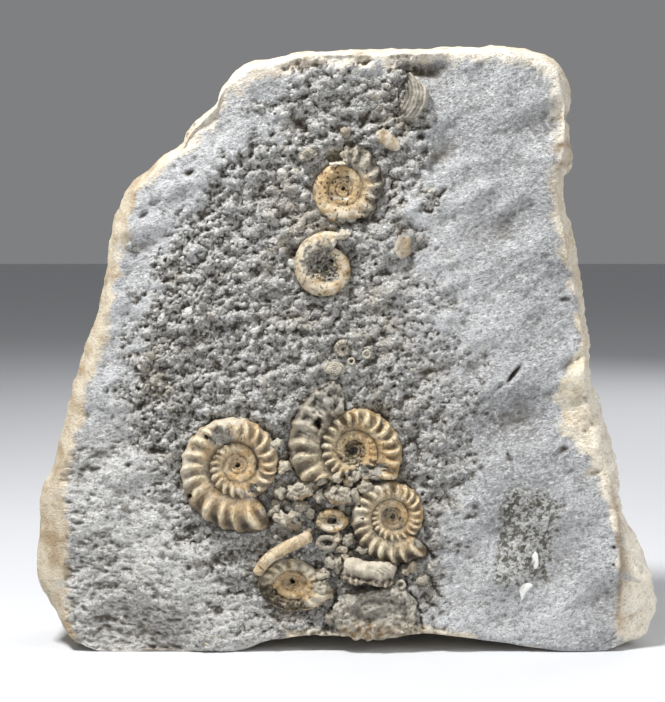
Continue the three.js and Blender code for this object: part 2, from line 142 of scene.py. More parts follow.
# Coils: hub place, rim radius at the aperture, aperture's direction in degrees from +X towards +Z, growth in
# a turn, hand 1 where it grows that way, turns shown, ribs in a turn, rib height and whorl half width over
# the rim, squash along z and depth of the middle plane.
COILS = {
    "ammonite_left": dict(at=(-26.2, 45.6), rim=16.9, aperture=302, growth=1.92, hand=1, turns=4.6,
        ribs=20.5, rib=0.09, wide=0.225, squash=1.0, depth=1.3, sweep=0.02, ribbed=1.5, seed=3,
        warm=(0.5, 0.5, -10), dark=(0.65, -95), disc=(2.3, 0.15), faded=0.2),
    "ammonite_centre": dict(at=(1.9, 49.2), rim=17.8, aperture=100, growth=1.82, hand=-1, turns=4.2, ribs=21,
        rib=0.09, wide=0.215, squash=1.0, depth=1.6, sweep=-0.018, ribbed=1.65, seed=11,
        warm=(0.25, 0.4, 20), dark=(0.4, 190), buried_below=42.6, disc=(2.3, 0.5), end=(0.34, 0.9),
        granular=(2.15, 0.4)),
    "ammonite_right": dict(at=(11.3, 33.1), rim=12.2, aperture=319, growth=1.74, hand=1, turns=4.6, ribs=21,
        rib=0.09, wide=0.24, squash=1.0, depth=1.5, sweep=0.018, ribbed=1.5, seed=17, warm=(0.25, 0.6, 35),
        dark=(1.0, -105), disc=(1.95, 0.5), faded=0.12),
    "ammonite_lower": dict(at=(-12.9, 17.1), rim=10.6, aperture=350, growth=1.66, hand=1, turns=4.6, ribs=15,
        rib=0.035, wide=0.25, squash=0.74, depth=1.7, sweep=0.02, ribbed=1.1, seed=23, roughness=2.0,
        warm=(0.4, 0.15, -60), dark=(0.45, 215), inner_warm=0.45, faded=0.12, seam=0.7),
    "ammonite_top": dict(at=(-0.8, 112.2), rim=11.6, aperture=89, growth=1.95, hand=1, turns=4.0, ribs=17,
        rib=0.09, wide=0.23, squash=1.0, depth=3.1, sweep=0.02, ribbed=0.4, seed=29, roughness=1.4,
        warm=(0.45, 0.4, 200), dark=(0.7, 10), grey_whorl=(-60, 112), pitted=0.9, end=(0.12, 1.2), faded=0.1,
        seam=0.5),
    "ammonite_upper": dict(at=(-4.8, 93.2), rim=9.1, aperture=66, growth=1.7, hand=-1, turns=4.0, ribs=9,
        rib=0.006, wide=0.27, squash=1.0, depth=1.8, sweep=0.0, ribbed=0.0, seed=31, roughness=1.4,
        warm=(0.35, 0.25, -60), dark=(0.15, 200), pitted=0.8, faded=0.42, granular=(0.95, 0.4), seam=0.5),
    "ammonite_small": dict(at=(-3.4, 32.2), rim=4.1, aperture=20, growth=1.13, hand=1, turns=5.0, ribs=12,
        rib=0.0, wide=0.42, squash=0.74, depth=1.5, sweep=0.0, ribbed=-1.0, seed=37, roughness=4.0,
        warm=(0.3, 0.1, 0), dark=(0.3, 270), pitted=0.6),
    "ammonite_tiny": dict(at=(-0.7, 73.7), rim=2.5, aperture=60, growth=1.7, hand=-1, turns=3.0, ribs=14,
        rib=0.035, wide=0.4, squash=1.0, depth=1.3, sweep=0.0, ribbed=1.2, seed=41, warm=(0.1, 0.0, 0),
        dark=(0.0, 0), bare=0.75),
}
WHORL_HALF_HEIGHT = 0.268
# The mean of a rib wave between 0 and 1, which neither raises nor lowers the whorl, and mesh steps in a rib.
RIB_MEAN = 0.31
STEPS_IN_RIB = 13
# Places closer than this are joined, in metres.
WELD_GAP = 4e-6


def smooth_step(value, low, high):
    t = np.clip((value - low) / (high - low), 0.0, 1.0)
    return t * t * (3 - 2 * t)


def bell(value, width):
    """1 where the value is 0, falling off on both sides."""
    return np.exp(-((value / width) ** 2))


def leaning(x, z, lean):
    """Distances along and across a direction that leans by so many degrees."""
    turn = math.radians(lean)
    return x * math.cos(turn) + z * math.sin(turn), z * math.cos(turn) - x * math.sin(turn)


# Fields over the face, on a raster with a fine step.
CELL = 0.2
RASTER_LOW = np.array([-78.0, -2.0])
RASTER_HIGH = np.array([78.0, 150.0])
RASTER_SHAPE = tuple(int(round(n)) for n in ((RASTER_HIGH - RASTER_LOW) / CELL)[::-1])
GX, GZ = np.meshgrid(
    RASTER_LOW[0] + CELL * np.arange(RASTER_SHAPE[1]),
    RASTER_LOW[1] + CELL * np.arange(RASTER_SHAPE[0]),
)


def band_noise(seed, wave, spread=0.45, stretch=1.0, lean=0.0):
    """Random relief of unit strength with one main wavelength, drawn out along a leaning direction."""
    white = np.random.default_rng(seed).standard_normal(RASTER_SHAPE)
    fx = np.fft.fftfreq(RASTER_SHAPE[1], CELL)[None, :]
    fz = np.fft.fftfreq(RASTER_SHAPE[0], CELL)[:, None]
    along, across = leaning(fx, fz, lean)
    frequency = np.hypot(along * stretch, across) + 1e-6
    gain = np.exp(-0.5 * (np.log(frequency * wave) / spread) ** 2)
    field = np.fft.ifft2(np.fft.fft2(white) * gain).real
    return field / field.std()


def soften(field, radius):
    """Gaussian blur with a radius in millimetres."""
    fx = np.fft.fftfreq(RASTER_SHAPE[1], CELL)[None, :]
    fz = np.fft.fftfreq(RASTER_SHAPE[0], CELL)[:, None]
    gain = np.exp(-2 * (math.pi * radius) ** 2 * (fx * fx + fz * fz))
    return np.fft.ifft2(np.fft.fft2(field) * gain).real


def grain_layer(seed, cell, small=0.45, fill=1.0):
    """Packed rounded grains: 0 between them and up to 1 on their tops."""
    rng = np.random.default_rng(seed)
    shape = tuple(int(n * CELL / cell) + 4 for n in RASTER_SHAPE)
    jitter_x, jitter_z, size, height, shown = rng.random((5,) + shape)
    radius = cell * (small + (1.05 - small) * size)
    height = np.where(shown < fill, 0.35 + 0.65 * height, 0.0)
    column = ((GX - RASTER_LOW[0]) / cell).astype(int) + 1
    row = ((GZ - RASTER_LOW[1]) / cell).astype(int) + 1
    out = np.zeros(RASTER_SHAPE)
    for dz in (-1, 0, 1):
        for dx in (-1, 0, 1):
            i, j = column + dx, row + dz
            gx = RASTER_LOW[0] + (i - 1 + jitter_x[j, i]) * cell
            gz = RASTER_LOW[1] + (j - 1 + jitter_z[j, i]) * cell
            near = ((GX - gx) ** 2 + (GZ - gz) ** 2) / radius[j, i] ** 2
            out = np.maximum(out, height[j, i] * np.sqrt(np.clip(1 - near, 0, 1)))
    return out


def bump_field(spots):
    """Sum of leaning Gaussian spots: x, z, radius along, radius across, lean, height."""
    out = np.zeros(RASTER_SHAPE)
    for x, z, long_radius, short_radius, lean, height in spots:
        along, across = leaning(GX - x, GZ - z, lean)
        out += height * np.exp(-((along / long_radius) ** 2 + (across / short_radius) ** 2))
    return out


def outline_distance(outline):
    """Distance to a closed outline, negative inside it."""
    distance = np.full(RASTER_SHAPE, 1e9)
    inside = np.zeros(RASTER_SHAPE, bool)
    for (ax, az), (bx, bz) in zip(outline, outline[1:] + outline[:1]):
        distance = np.minimum(distance, segment_distance((ax, az), (bx, bz)))
        crosses = (az > GZ) != (bz > GZ)
        inside ^= crosses & (GX < (bx - ax) * (GZ - az) / (bz - az + 1e-12) + ax)
    return np.where(inside, -distance, distance)


def segment_distance(start, end):
    (ax, az), (bx, bz) = start, end
    length = (bx - ax) ** 2 + (bz - az) ** 2
    t = np.clip(((GX - ax) * (bx - ax) + (GZ - az) * (bz - az)) / length, 0, 1)
    return np.hypot(GX - ax - t * (bx - ax), GZ - az - t * (bz - az))


def crack_field():
    out = np.zeros(RASTER_SHAPE)
    wander = 0.35 * band_noise(71, 2.2)
    for points, width, depth in CRACKS:
        distance = np.full(RASTER_SHAPE, 1e9)
        for start, end in zip(points, points[1:]):
            distance = np.minimum(distance, segment_distance(start, end))
        out = np.maximum(out, depth * np.exp(-((np.maximum(distance + wander * 0.5, 0) / width) ** 2)))
    return out


def coil_reach(coil):
    """Distance outside a coil's rim over the raster, negative on the shell."""
    x, z = coil["at"]
    dx, dz = GX - x, (GZ - z) / coil["squash"]
    angle = np.degrees(np.arctan2(dz, dx))
    back = ((coil["aperture"] - angle) * coil["hand"] % 360) / 360
    reach = np.hypot(dx, dz) - coil["rim"] * coil["growth"] ** -back
    return np.maximum(reach, coil.get("buried_below", -99) - GZ)


def sample(field, x, z):
    """Bilinear values of a raster field at places on the face."""
    i = np.clip((x - RASTER_LOW[0]) / CELL, 0, RASTER_SHAPE[1] - 1.001)
    j = np.clip((z - RASTER_LOW[1]) / CELL, 0, RASTER_SHAPE[0] - 1.001)
    i0, j0 = i.astype(int), j.astype(int)
    fi, fj = i - i0, j - j0
    low = field[j0, i0] * (1 - fi) + field[j0, i0 + 1] * fi
    high = field[j0 + 1, i0] * (1 - fi) + field[j0 + 1, i0 + 1] * fi
    return low * (1 - fj) + high * fj


def catmull(points, count):
    """Evenly spaced places along a smooth run through the points."""
    p = np.array(points, float)
    p = np.vstack([2 * p[0] - p[1], p, 2 * p[-1] - p[-2]])
    t = np.linspace(0, 1, 12, endpoint=False)[:, None]
    run = []
    for a, b, c, d in zip(p, p[1:], p[2:], p[3:]):
        bend = (2 * a - 5 * b + 4 * c - d) * t**2 + (3 * b - a - 3 * c + d) * t**3
        run.append(0.5 * (2 * b + (c - a) * t + bend))
    run = np.vstack(run + [p[-2:-1]])
    length = np.concatenate([[0], np.cumsum(np.hypot(*np.diff(run, axis=0).T))])
    at = np.linspace(0, length[-1], count + 1)
    return np.stack([np.interp(at, length, run[:, k]) for k in (0, 1)], axis=1)


def ragged(points, seed, reach):
    """Chips a sampled edge unevenly, and leaves its two ends where they are."""
    rng = np.random.default_rng(seed)
    count = len(points)
    shift = np.zeros((count, 2))
    for wave, share in ((40, 0.6), (14, 0.3), (5, 0.2)):
        knots = rng.standard_normal((count // wave + 3, 2))
        at = np.arange(count) / wave
        shift += share * np.stack([np.interp(at, np.arange(len(knots)), knots[:, k]) for k in (0, 1)], 1)
    fade = np.minimum(1, np.minimum(np.arange(count), np.arange(count)[::-1]) / 12)
    moved = points + reach * shift * fade[:, None]
    moved[:, 1] = np.where(points[:, 1] < 0.02, np.maximum(points[:, 1], 0), np.maximum(moved[:, 1], 0))
    return moved


def sampled_edges(edges, across, up, seed, reach):
    counts = {"left": up, "right": up, "top": across, "bottom": across}
    names = enumerate(counts.items())
    return {name: ragged(catmull(edges[name], n), seed + k, reach) for k, (name, n) in names}


def patch(edges):
    """Coons patch: the grid of [x, z] places that four sampled edges span."""
    left, right, top, bottom = (edges[k] for k in ("left", "right", "top", "bottom"))
    u = np.linspace(0, 1, len(top))[None, :, None]
    v = np.linspace(0, 1, len(left))[:, None, None]
    ruled = (1 - v) * bottom[None] + v * top[None] + (1 - u) * left[:, None] + u * right[:, None]
    low = (1 - u) * bottom[0] + u * bottom[-1]
    high = (1 - u) * top[0] + u * top[-1]
    return ruled - (1 - v) * low - v * high


def rim_of(grid):
    """The boundary of a grid as one closed run."""
    return np.concatenate([grid[0, :-1], grid[:-1, -1], grid[-1, :0:-1], grid[:0:-1, 0]])


def grid_quads(index):
    a, b, c, d = index[:-1, :-1], index[:-1, 1:], index[1:, 1:], index[1:, :-1]
    return np.stack([a.ravel(), b.ravel(), c.ravel(), d.ravel()], axis=1)


# The lower left corner's two facets, which face away from the light and carry painted shade: the ridge above
# the lower one and the valley below the upper one.
CORNER_RIDGE = [(-75, 41), (-68, 37), (-57.6, 30.5), (-51.5, 22.4), (-43.8, 18.6), (-38, 13), (-28, 6)]
CORNER_VALLEY = [(-75, 41), (-69, 41.5), (-60, 44), (-51.5, 49.2), (-44, 56)]


def face_fields():
    """Depth of the rock's face and the masks that its paint reads, all over the raster."""
    rough_distance = outline_distance(ROUGH_OUTLINE) + 2.6 * band_noise(5, 13) + 1.2 * band_noise(6, 4)
    rough = smooth_step(-rough_distance, -4.0, 5.0)
    rough *= 1 - 0.45 * smooth_step(GX + 0.3 * (GZ - 60), 8, 24) * (1 - smooth_step(GZ, 95, 112))
    lower_left = smooth_step(-GX - 0.35 * GZ, 8, 24) * smooth_step(-GZ, -62, -40)
    waver = 0.9 * band_noise(33, 6)
    below = np.interp(GX, *zip(*CORNER_RIDGE)) + waver - GZ
    above = GZ - np.interp(GX, *zip(*CORNER_VALLEY)) + waver
    facet = smooth_step(below, -0.5, 2.5) * (1 - smooth_step(GX, -40, -28))
    facet += smooth_step(above, -0.5, 2.5) * (1 - smooth_step(above, 9, 20)) * (1 - smooth_step(GX, -50, -42))
    patch_distance = outline_distance(PATCH_OUTLINE) + 0.5 * band_noise(7, 3)
    worn = smooth_step(-patch_distance, -0.5, 0.6)
    ledges = band_noise(11, 9, 0.5, 2.0, 24)
    clumps = band_noise(12, 3.8, 0.5, 1.5, 20)
    knobs = band_noise(13, 1.7, 0.5, 1.25, 15)
    crumbs = band_noise(20, 0.9, 0.4, 1.1, 0)
    depth = 0.55 + 0.75 * rough
    depth -= rough * (0.4 * ledges + 0.36 * clumps + 0.27 * knobs + 0.15 * crumbs)
    depth += rough * 0.6 * np.maximum(0, band_noise(14, 5.5, 0.4, 1.9, 22) - 1.1)
    depth += rough * 0.7 * np.maximum(0, band_noise(28, 2.3, 0.4, 1.2, 10) - 1.0)
    depth -= rough * (0.4 * grain_layer(21, 2.2, 0.3, 0.6) + 0.3 * grain_layer(22, 1.15, 0.35, 0.85))
    rubble = smooth_step(-outline_distance(RUBBLE_OUTLINE) - 1.2 * band_noise(9, 5), -2.5, 1.5)
    depth += rubble * (1.1 - 1.5 * grain_layer(31, 2.9, 0.22, 0.9) - 0.6 * grain_layer(32, 1.7, 0.3))
    calm = 1 - rough
    low_right = smooth_step(GX - 0.2 * GZ, 6, 20)
    swells = (0.2 - 0.06 * low_right) * band_noise(16, 9, 0.45, 1.8, 28)
    depth -= calm * (0.75 * band_noise(15, 26, 0.4, 1.4, 25) + swells)
    sand = (0.1 + 0.05 * low_right) * grain_layer(24, 0.8, 0.4, 0.7)
    depth -= calm * (0.07 * band_noise(17, 2.6, 0.5, 1.5, 20) + sand)
    ripples = band_noise(18, 1.35, 0.4, 2.2, -6)
    grain = lower_left * calm * (1 + 0.7 * facet)
    depth -= grain * (0.08 * ripples + 0.1 * band_noise(27, 3.4, 0.4, 1.8, -4) + 0.13 * grain_layer(25, 1.1))
    corner = 1 - smooth_step(GX, -46, -30)
    depth += calm * corner * (0.1 * np.clip(below, 0, 15) + 0.9 * bell(above - 1.5, 3.5))
    depth += worn * (0.2 + 0.12 * band_noise(19, 1.3) - 0.12 * grain_layer(26, 0.9))
    depth += bump_field(HOLLOWS) * (1 + 0.25 * knobs * rough) - bump_field(SWELLINGS) + crack_field()
    moat = np.zeros(RASTER_SHAPE)
    for coil in COILS.values():
        reach = coil_reach(coil) + 0.2 * clumps
        ring = np.exp(-np.maximum(reach, 0) / 1.5)
        moat = np.maximum(moat, ring * (0.5 + 0.5 * smooth_step(coil["rim"], 2, 10)))
    depth += 0.9 * moat * (1 + 0.3 * clumps)
    for coil in COILS.values():
        under = smooth_step(-coil_reach(coil), 0.2, 1.0)
        depth = depth * (1 - under) + np.maximum(depth, coil["depth"] + 0.6) * under
    cavity = smooth_step(depth - soften(depth, 1.3), 0.0, 0.85)
    fine_cavity = smooth_step(depth - soften(depth, 0.5), 0.0, 0.3)
    hollow = smooth_step(depth - soften(depth, 4.0), 0.15, 1.7)
    return {
        "depth": depth, "rough": rough, "cavity": cavity, "fine_cavity": fine_cavity, "hollow": hollow,
        "moat": np.clip(np.maximum(moat, 0.75 * rubble), 0, 1), "worn": worn, "lower_left": lower_left,
        "facet": np.clip(facet, 0, 1),
    }


def new_mesh_object(name, points, faces):
    """A mesh object in metres from places in millimetres."""
    mesh = bpy.data.meshes.new(name)
    mesh.from_pydata([tuple(p) for p in np.asarray(points) * MM], [], [tuple(f) for f in faces])
    mesh.validate()
    piece = bpy.data.objects.new(name, mesh)
    bpy.context.collection.objects.link(piece)
    return piece


def vertex_places(mesh):
    places = np.empty(len(mesh.vertices) * 3)
    mesh.vertices.foreach_get("co", places)
    return places.reshape(-1, 3) / MM


def set_places(mesh, places):
    mesh.vertices.foreach_set("co", (np.asarray(places) * MM).ravel())
    mesh.update()


def set_values(mesh, name, values):
    """Stores one number per vertex for the paint to read."""
    if name in mesh.attributes:
        mesh.attributes.remove(mesh.attributes[name])
    layer = mesh.attributes.new(name, "FLOAT", "POINT")
    layer.data.foreach_set("value", np.asarray(values, dtype=np.float32))


def get_values(mesh, name):
    values = np.empty(len(mesh.vertices), dtype=np.float32)
    mesh.attributes[name].data.foreach_get("value", values)
    return values


def finish_mesh(piece):
    """Faces point outwards and are shaded smooth."""
    work = bmesh.new()
    work.from_mesh(piece.data)
    bmesh.ops.recalc_face_normals(work, faces=work.faces)
    work.to_mesh(piece.data)
    work.free()
    piece.data.shade_smooth()


def apply_modifiers(piece):
    """Puts the evaluated shape into the piece's own mesh and takes its modifiers off."""
    depsgraph = bpy.context.evaluated_depsgraph_get()
    mesh = bpy.data.meshes.new_from_object(piece.evaluated_get(depsgraph), depsgraph=depsgraph)
    piece.modifiers.clear()
    piece.data = mesh


def flank_noise(places, seed, wave):
    """Cheap smooth noise in space from a few leaning waves."""
    rng = np.random.default_rng(seed)
    out = np.zeros(len(places))
    for _ in range(14):
        direction = rng.standard_normal(3)
        direction /= np.linalg.norm(direction)
        length = wave * (0.6 + 0.9 * rng.random())
        out += np.sin(places @ direction * (TURN / length) + rng.random() * TURN)
    return out / math.sqrt(7)


def noises(places, *layers):
    """Sum of smooth noises: a seed, a wavelength and a height for each."""
    return sum(height * flank_noise(places, seed, wave) for seed, wave, height in layers)


def build_slab(fields):
    across = int(122 / FACE_STEP)
    up = int(143 / FACE_STEP)
    face = patch(sampled_edges(FACE_EDGES, across, up, 50, 0.22))
    girth = sampled_edges(GIRTH_EDGES, across, up, 60, 0.3)
    rims = {"face": rim_of(face), "girth": rim_of(patch(girth))}
    depth = sample(fields["depth"], face[..., 0], face[..., 1])
    grid = np.stack([face[..., 0], FACE_Y + depth, face[..., 1]], axis=-1)
    rim_distance = distance_to_rim(grid.shape[:2])
    roll = np.exp(-rim_distance / 1.1)
    grid[..., 1] = grid[..., 1] * (1 - roll**3) + (FACE_Y + FLANK_STATIONS[0][0]) * roll**3
    grid[..., 1] += 0.35 * roll
    points = [grid.reshape(-1, 3)]
    index = np.arange(grid.shape[0] * grid.shape[1]).reshape(grid.shape[:2])
    faces = [grid_quads(index)]
    ring = rim_of(index)
    total = index.size
    for places in flank_rings(rims, grid):
        new_ring = np.arange(total, total + len(places))
        faces.append(np.stack([ring, new_ring, np.roll(new_ring, -1), np.roll(ring, -1)], axis=1))
        points.append(places)
        ring, total = new_ring, total + len(places)
    closing_points, closing_faces = back_face(points[-1], ring, total)
    points.append(closing_points)
    quads = [tuple(f) for block in faces for f in block.tolist()] + closing_faces
    slab = new_mesh_object("matrix_slab_rock", np.concatenate(points), quads)
    thin = slab.modifiers.new("Thin", "DECIMATE")
    thin.ratio = min(1.0, SLAB_TRIANGLES / (2 * len(quads)))
    thin.use_collapse_triangulate = True
    apply_modifiers(slab)
    finish_mesh(slab)
    paint_values(slab, fields)
    return slab


def distance_to_rim(shape):
    """Millimetres from each grid place to the nearest edge of the grid, by counting its steps."""
    rows = np.minimum(np.arange(shape[0]), np.arange(shape[0])[::-1])[:, None]
    columns = np.minimum(np.arange(shape[1]), np.arange(shape[1])[::-1])[None, :]
    return FACE_STEP * np.minimum(rows, columns)


def flank_rings(rims, grid):
    """Rings of places down the flanks, bulging from the face's edge to the girth and in to the back."""
    first = rim_of(grid)
    stations = [(first[:, [0, 2]], first[:, 1])]
    for depth, rim, scale in FLANK_STATIONS[1:]:
        stations.append((rims[rim] * scale, np.full(len(first), FACE_Y + depth)))
    rings = []
    middle = np.array([0.0, MIDDLE_Z])
    for (start, start_y), (end, end_y) in zip(stations, stations[1:]):
        count = max(2, int(np.mean(end_y - start_y) / FLANK_STEP))
        for step in range(1, count + 1):
            t = step / count
            ease = math.sin(t * TURN / 4) if start is stations[0][0] else t
            flat = start + (end - start) * ease
            y = start_y + (end_y - start_y) * t
            outward = flat - middle
            outward /= np.linalg.norm(outward, axis=1)[:, None]
            place = np.stack([flat[:, 0], y, flat[:, 1]], axis=1)
            bumps = noises(place, (81, 13, 0.45), (82, 4.5, 0.28), (83, 1.9, 0.12))
            bumps += 0.2 * np.sin((y + 1.5 * flank_noise(place, 84, 24)) * TURN / 6.8)
            bumps -= 0.7 * smooth_step(flank_noise(place, 86, 15), 0.9, 1.05)
            quiet = np.maximum(smooth_step(-flat[:, 0], 5, 35), smooth_step(flat[:, 1], 72, 92))
            quiet *= 1 - 0.75 * smooth_step(y - FACE_Y, 7, 16) * smooth_step(flat[:, 1], 90, 120)
            bumps *= 1 - 0.68 * quiet
            bumps += 0.1 * flank_noise(place, 85, 1.4) * smooth_step(flat[:, 0], 45, 60)
            shoulder = 2.2 * bell(flat[:, 1] - 22, 11) * smooth_step(-flat[:, 0], 30, 60)
            right_lobe = 2.5 * bell(flat[:, 1] - 11, 14) * smooth_step(flat[:, 0], 45, 62)
            arc = np.hypot((y - FACE_Y - 9) / 4.2, (flat[:, 1] - 17.5) / 1.7)
            arc = 0.7 * bell(arc - 1, 0.3) * smooth_step(flat[:, 1], 17, 18) - 0.4 * np.exp(-2 * arc * arc)
            bumps = np.minimum(bumps, 0.6) + (shoulder + right_lobe) * np.clip((y - FACE_Y) / 6, 0, 1)
            bumps += arc * (flat[:, 0] > 50)
            foot = smooth_step(flat[:, 1], 0.3, 4.0)
            flat = flat + outward * (bumps * foot)[:, None]
            rings.append(np.stack([flat[:, 0], y, np.maximum(flat[:, 1], 0)], axis=1))
    return rings


def back_face(ring_places, ring, total):
    """Closes the back: a thinned ring inside the last one, then a coarse patch across it."""
    kept = ring_places[::BACK_THINNING].copy()
    count = len(kept)
    middle = np.array([0.0, 0.0, MIDDLE_Z])
    inner = kept + (middle - kept) * np.array([0.03, 0.0, 0.03])
    inner[:, 1] = SLAB_HIGH[1] - 0.4
    faces = []
    inner_ring = np.arange(total, total + count)
    size = len(ring)
    for k in range(count):
        start = k * BACK_THINNING
        stop = min(start + BACK_THINNING, size)
        following = inner_ring[(k + 1) % count]
        for m in range(start, stop):
            half = start + BACK_THINNING // 2
            corner = inner_ring[k] if m < half else following
            faces.append((ring[m], corner, ring[(m + 1) % size]))
            if m + 1 == half:
                faces.append((ring[(m + 1) % size], inner_ring[k], following))
        if stop <= half:
            faces.append((ring[stop % size], inner_ring[k], following))
    points = [inner]
    total += count
    previous = inner_ring
    for step in range(1, BACK_RINGS + 1):
        shrink = 1 - step / BACK_RINGS
        place = middle + (inner - middle) * np.array([shrink, 1, shrink])
        relief = noises(place, (91, 28, 0.4), (92, 9, 0.22), (93, 4, 0.1), (95, 2.2, 0.06))
        layer = noises(place, (94, 34, 1), (96, 7, 0.12))
        relief -= 0.55 * smooth_step(layer, 0.25, 0.4) + 0.5 * smooth_step(-layer, 0.75, 0.88)
        place[:, 1] = SLAB_HIGH[1] - 0.6 + np.minimum(relief, 0.6) * min(1, step / 4)
        if step == BACK_RINGS:
            points.append(place[:1])
            faces += [(previous[k], total, previous[(k + 1) % count]) for k in range(count)]
            break
        following = np.arange(total, total + count)
        for k in range(count):
            after = (k + 1) % count
            faces.append((previous[k], following[k], following[after], previous[after]))
        points.append(place)
        previous, total = following, total + count
    return np.concatenate(points), faces


def paint_values(slab, fields):
    """The masks that the rock's paint reads: from the raster on the face, and by place on the flanks."""
    mesh = slab.data
    places = vertex_places(mesh)
    x, y, z = places.T
    behind = y - FACE_Y
    front = 1 - smooth_step(behind, 2.6, 4.2)
    normals = np.empty(len(mesh.vertices) * 3)
    mesh.vertex_normals.foreach_get("vector", normals)
    facing = smooth_step(-normals.reshape(-1, 3)[:, 1], 0.25, 0.7)
    on_face = np.where(behind < 6.5, np.maximum(front, facing), 0.0)
    for name in ("cavity", "fine_cavity", "hollow", "rough", "moat", "worn", "lower_left", "facet"):
        set_values(mesh, name, sample(fields[name], x, z) * on_face)
    shells = np.min([coil_reach(coil) for coil in COILS.values()], axis=0)
    clear = smooth_step(sample(shells, x, z), 0.3, 1.0)
    grit = np.maximum(sample(fields["rough"], x, z) ** 1.5, 0.16 * sample(fields["lower_left"], x, z))

    edge = outline_distance([tuple(p) for p in rim_of(patch(sampled_edges(FACE_EDGES, 60, 60, 50, 0.0)))])
    inside = -sample(edge, x, z)
    set_values(mesh, "grainy", grit * clear * (behind < 4) * on_face * smooth_step(inside, 0.9, 2.2))
    wander = sample(band_noise(31, 9, 0.5), x, z) * 0.8 + sample(band_noise(32, 2.5, 0.5), x, z) * 0.35
    right = smooth_step(x, 30, 50)
    reach = (1 - right) * (1.0 + 1.3 * smooth_step(z, 118, 135)) + wander * 0.8
    reach += right * (0.2 + 8.0 * bell(z - 61, 9.5) + 0.9 * smooth_step(z, 76, 110))
    reach += right * 2.6 * smooth_step(z, 26, 38) * (1 - smooth_step(z, 50, 62))
    reach -= 2.0 * (1 - smooth_step(z, 2.0, 5.0)) * smooth_step(np.abs(x - 6), 12, 20)
    soft = 1.0 + 2.2 * right * smooth_step(z, 80, 110)
    set_values(mesh, "rind", np.maximum(1 - on_face, 1 - smooth_step(inside, reach - 0.6, reach + soft)))
    lobe = smooth_step(x, 40, 55) * (1 - smooth_step(z, 36, 48)) * smooth_step(z, 3, 8)
    line = bell(inside - 0.5 + 0.3 * wander, 0.7) * lobe
    for notch_z, half in ((129.3, 0.9), (122.4, 1.9), (117.6, 0.8)):
        drop = (z - notch_z - 0.45 * (x - 52)) / half + 0.8 * wander
        line = np.maximum(line, np.exp(-drop * drop) * smooth_step(x, 47.5, 51.5) * (behind < 7))
    set_values(mesh, "edge_line", np.clip(line, 0, 1) * 0.75)


class Steps:
    """Adds nodes to a tree one after another and joins their sockets."""

    def __init__(self, tree):
        self.nodes = tree.nodes
        self.links = tree.links

    def add(self, kind, inputs=(), **settings):
        node = self.nodes.new(kind)
        for name, value in settings.items():
            setattr(node, name, value)
        for name, value in dict(inputs).items():
            self.join(value, node.inputs[name])
        return node

    def out(self, kind, inputs=(), **settings):
        """The first outlet of a new node."""
        return self.add(kind, inputs, **settings).outputs[0]

    def join(self, value, socket):
        if isinstance(value, bpy.types.NodeSocket):
            self.links.new(value, socket)
        else:
            socket.default_value = value

    def sum(self, operation, *values):
        node = self.add("ShaderNodeMath", operation=operation)
        for value, socket in zip(values, node.inputs):
            self.join(value, socket)
        return node.outputs[0]

    def times(self, first, *others):
        for other in others:
            first = self.sum("MULTIPLY", first, other)
        return first

    def plus(self, *values):
        return self.sum("ADD", *values)

    def minus(self, *values):
        return self.sum("SUBTRACT", *values)

    def scaled(self, vector, amount):
        return self.out("ShaderNodeVectorMath", {0: vector, "Scale": amount}, operation="SCALE")

    def store(self, shape, name, value, domain):
        """Writes a value on the shape's points or instances."""
        inputs = {"Geometry": shape, "Name": name, "Value": value}
        return self.out("GeometryNodeStoreNamedAttribute", inputs, domain=domain)

    def ease(self, value, low, high, start=0.0, end=1.0):
        """A smooth step of a value from one number to another."""
        node = self.add("ShaderNodeMapRange", interpolation_type="SMOOTHSTEP")
        names = ("Value", "From Min", "From Max", "To Min", "To Max")
        for name, number in zip(names, (value, low, high, start, end)):
            self.join(number, node.inputs[name])
        return node.outputs["Result"]

    def mask(self, name):
        """One of the values that the mesh carries."""
        return self.add("ShaderNodeAttribute", attribute_name=name).outputs["Fac"]

    def noise(self, place, scale, detail=3.0, roughness=0.55):
        """Noise whose scale is counted in blotches over a millimetre."""
        inputs = {"Vector": place, "Scale": scale * 1000, "Detail": detail, "Roughness": roughness}
        return self.out("ShaderNodeTexNoise", inputs)

    def blend(self, amount, low, high):
        node = self.add("ShaderNodeMix", data_type="RGBA")
        self.join(amount, node.inputs["Factor"])
        self.join(low, node.inputs[6])
        self.join(high, node.inputs[7])
        return node.outputs[2]

    def over(self, tone, amount, *shown):
        """Lays a colour over a tone; the amount is between 0 and 1."""
        return self.blend(amount, tone, colour(*shown))


def new_geometry_tree(name, sizes):
    """An empty geometry tree with one named number input for each size."""
    tree = bpy.data.node_groups.new(name, "GeometryNodeTree")
    tree.interface.new_socket("Geometry", in_out="INPUT", socket_type="NodeSocketGeometry")
    for size in sizes:
        tree.interface.new_socket(size, in_out="INPUT", socket_type="NodeSocketFloat")
    tree.interface.new_socket("Geometry", in_out="OUTPUT", socket_type="NodeSocketGeometry")
    steps = Steps(tree)
    return tree, steps, steps.add("NodeGroupInput").outputs, steps.add("NodeGroupOutput").inputs[0]


def close_tree(steps, geometry, outlet, material):
    real = steps.out("GeometryNodeRealizeInstances", {"Geometry": geometry})
    painted = steps.out("GeometryNodeSetMaterial", {"Geometry": real, "Material": material})
    steps.join(painted, outlet)


def grow(name, tree, sizes, base=None):
    """Runs a geometry tree with the given sizes and keeps its result as a plain mesh."""
    mesh = base.data.copy() if base else bpy.data.meshes.new(name)
    piece = bpy.data.objects.new(name, mesh)
    bpy.context.collection.objects.link(piece)
    growth = piece.modifiers.new("Growth", "NODES")
    growth.node_group = tree
    for item in tree.interface.items_tree:
        if item.item_type == "SOCKET" and item.in_out == "INPUT" and item.name in sizes:
            growth[item.identifier] = float(sizes[item.name])
    apply_modifiers(piece)
    piece.data.name = name
    return piece


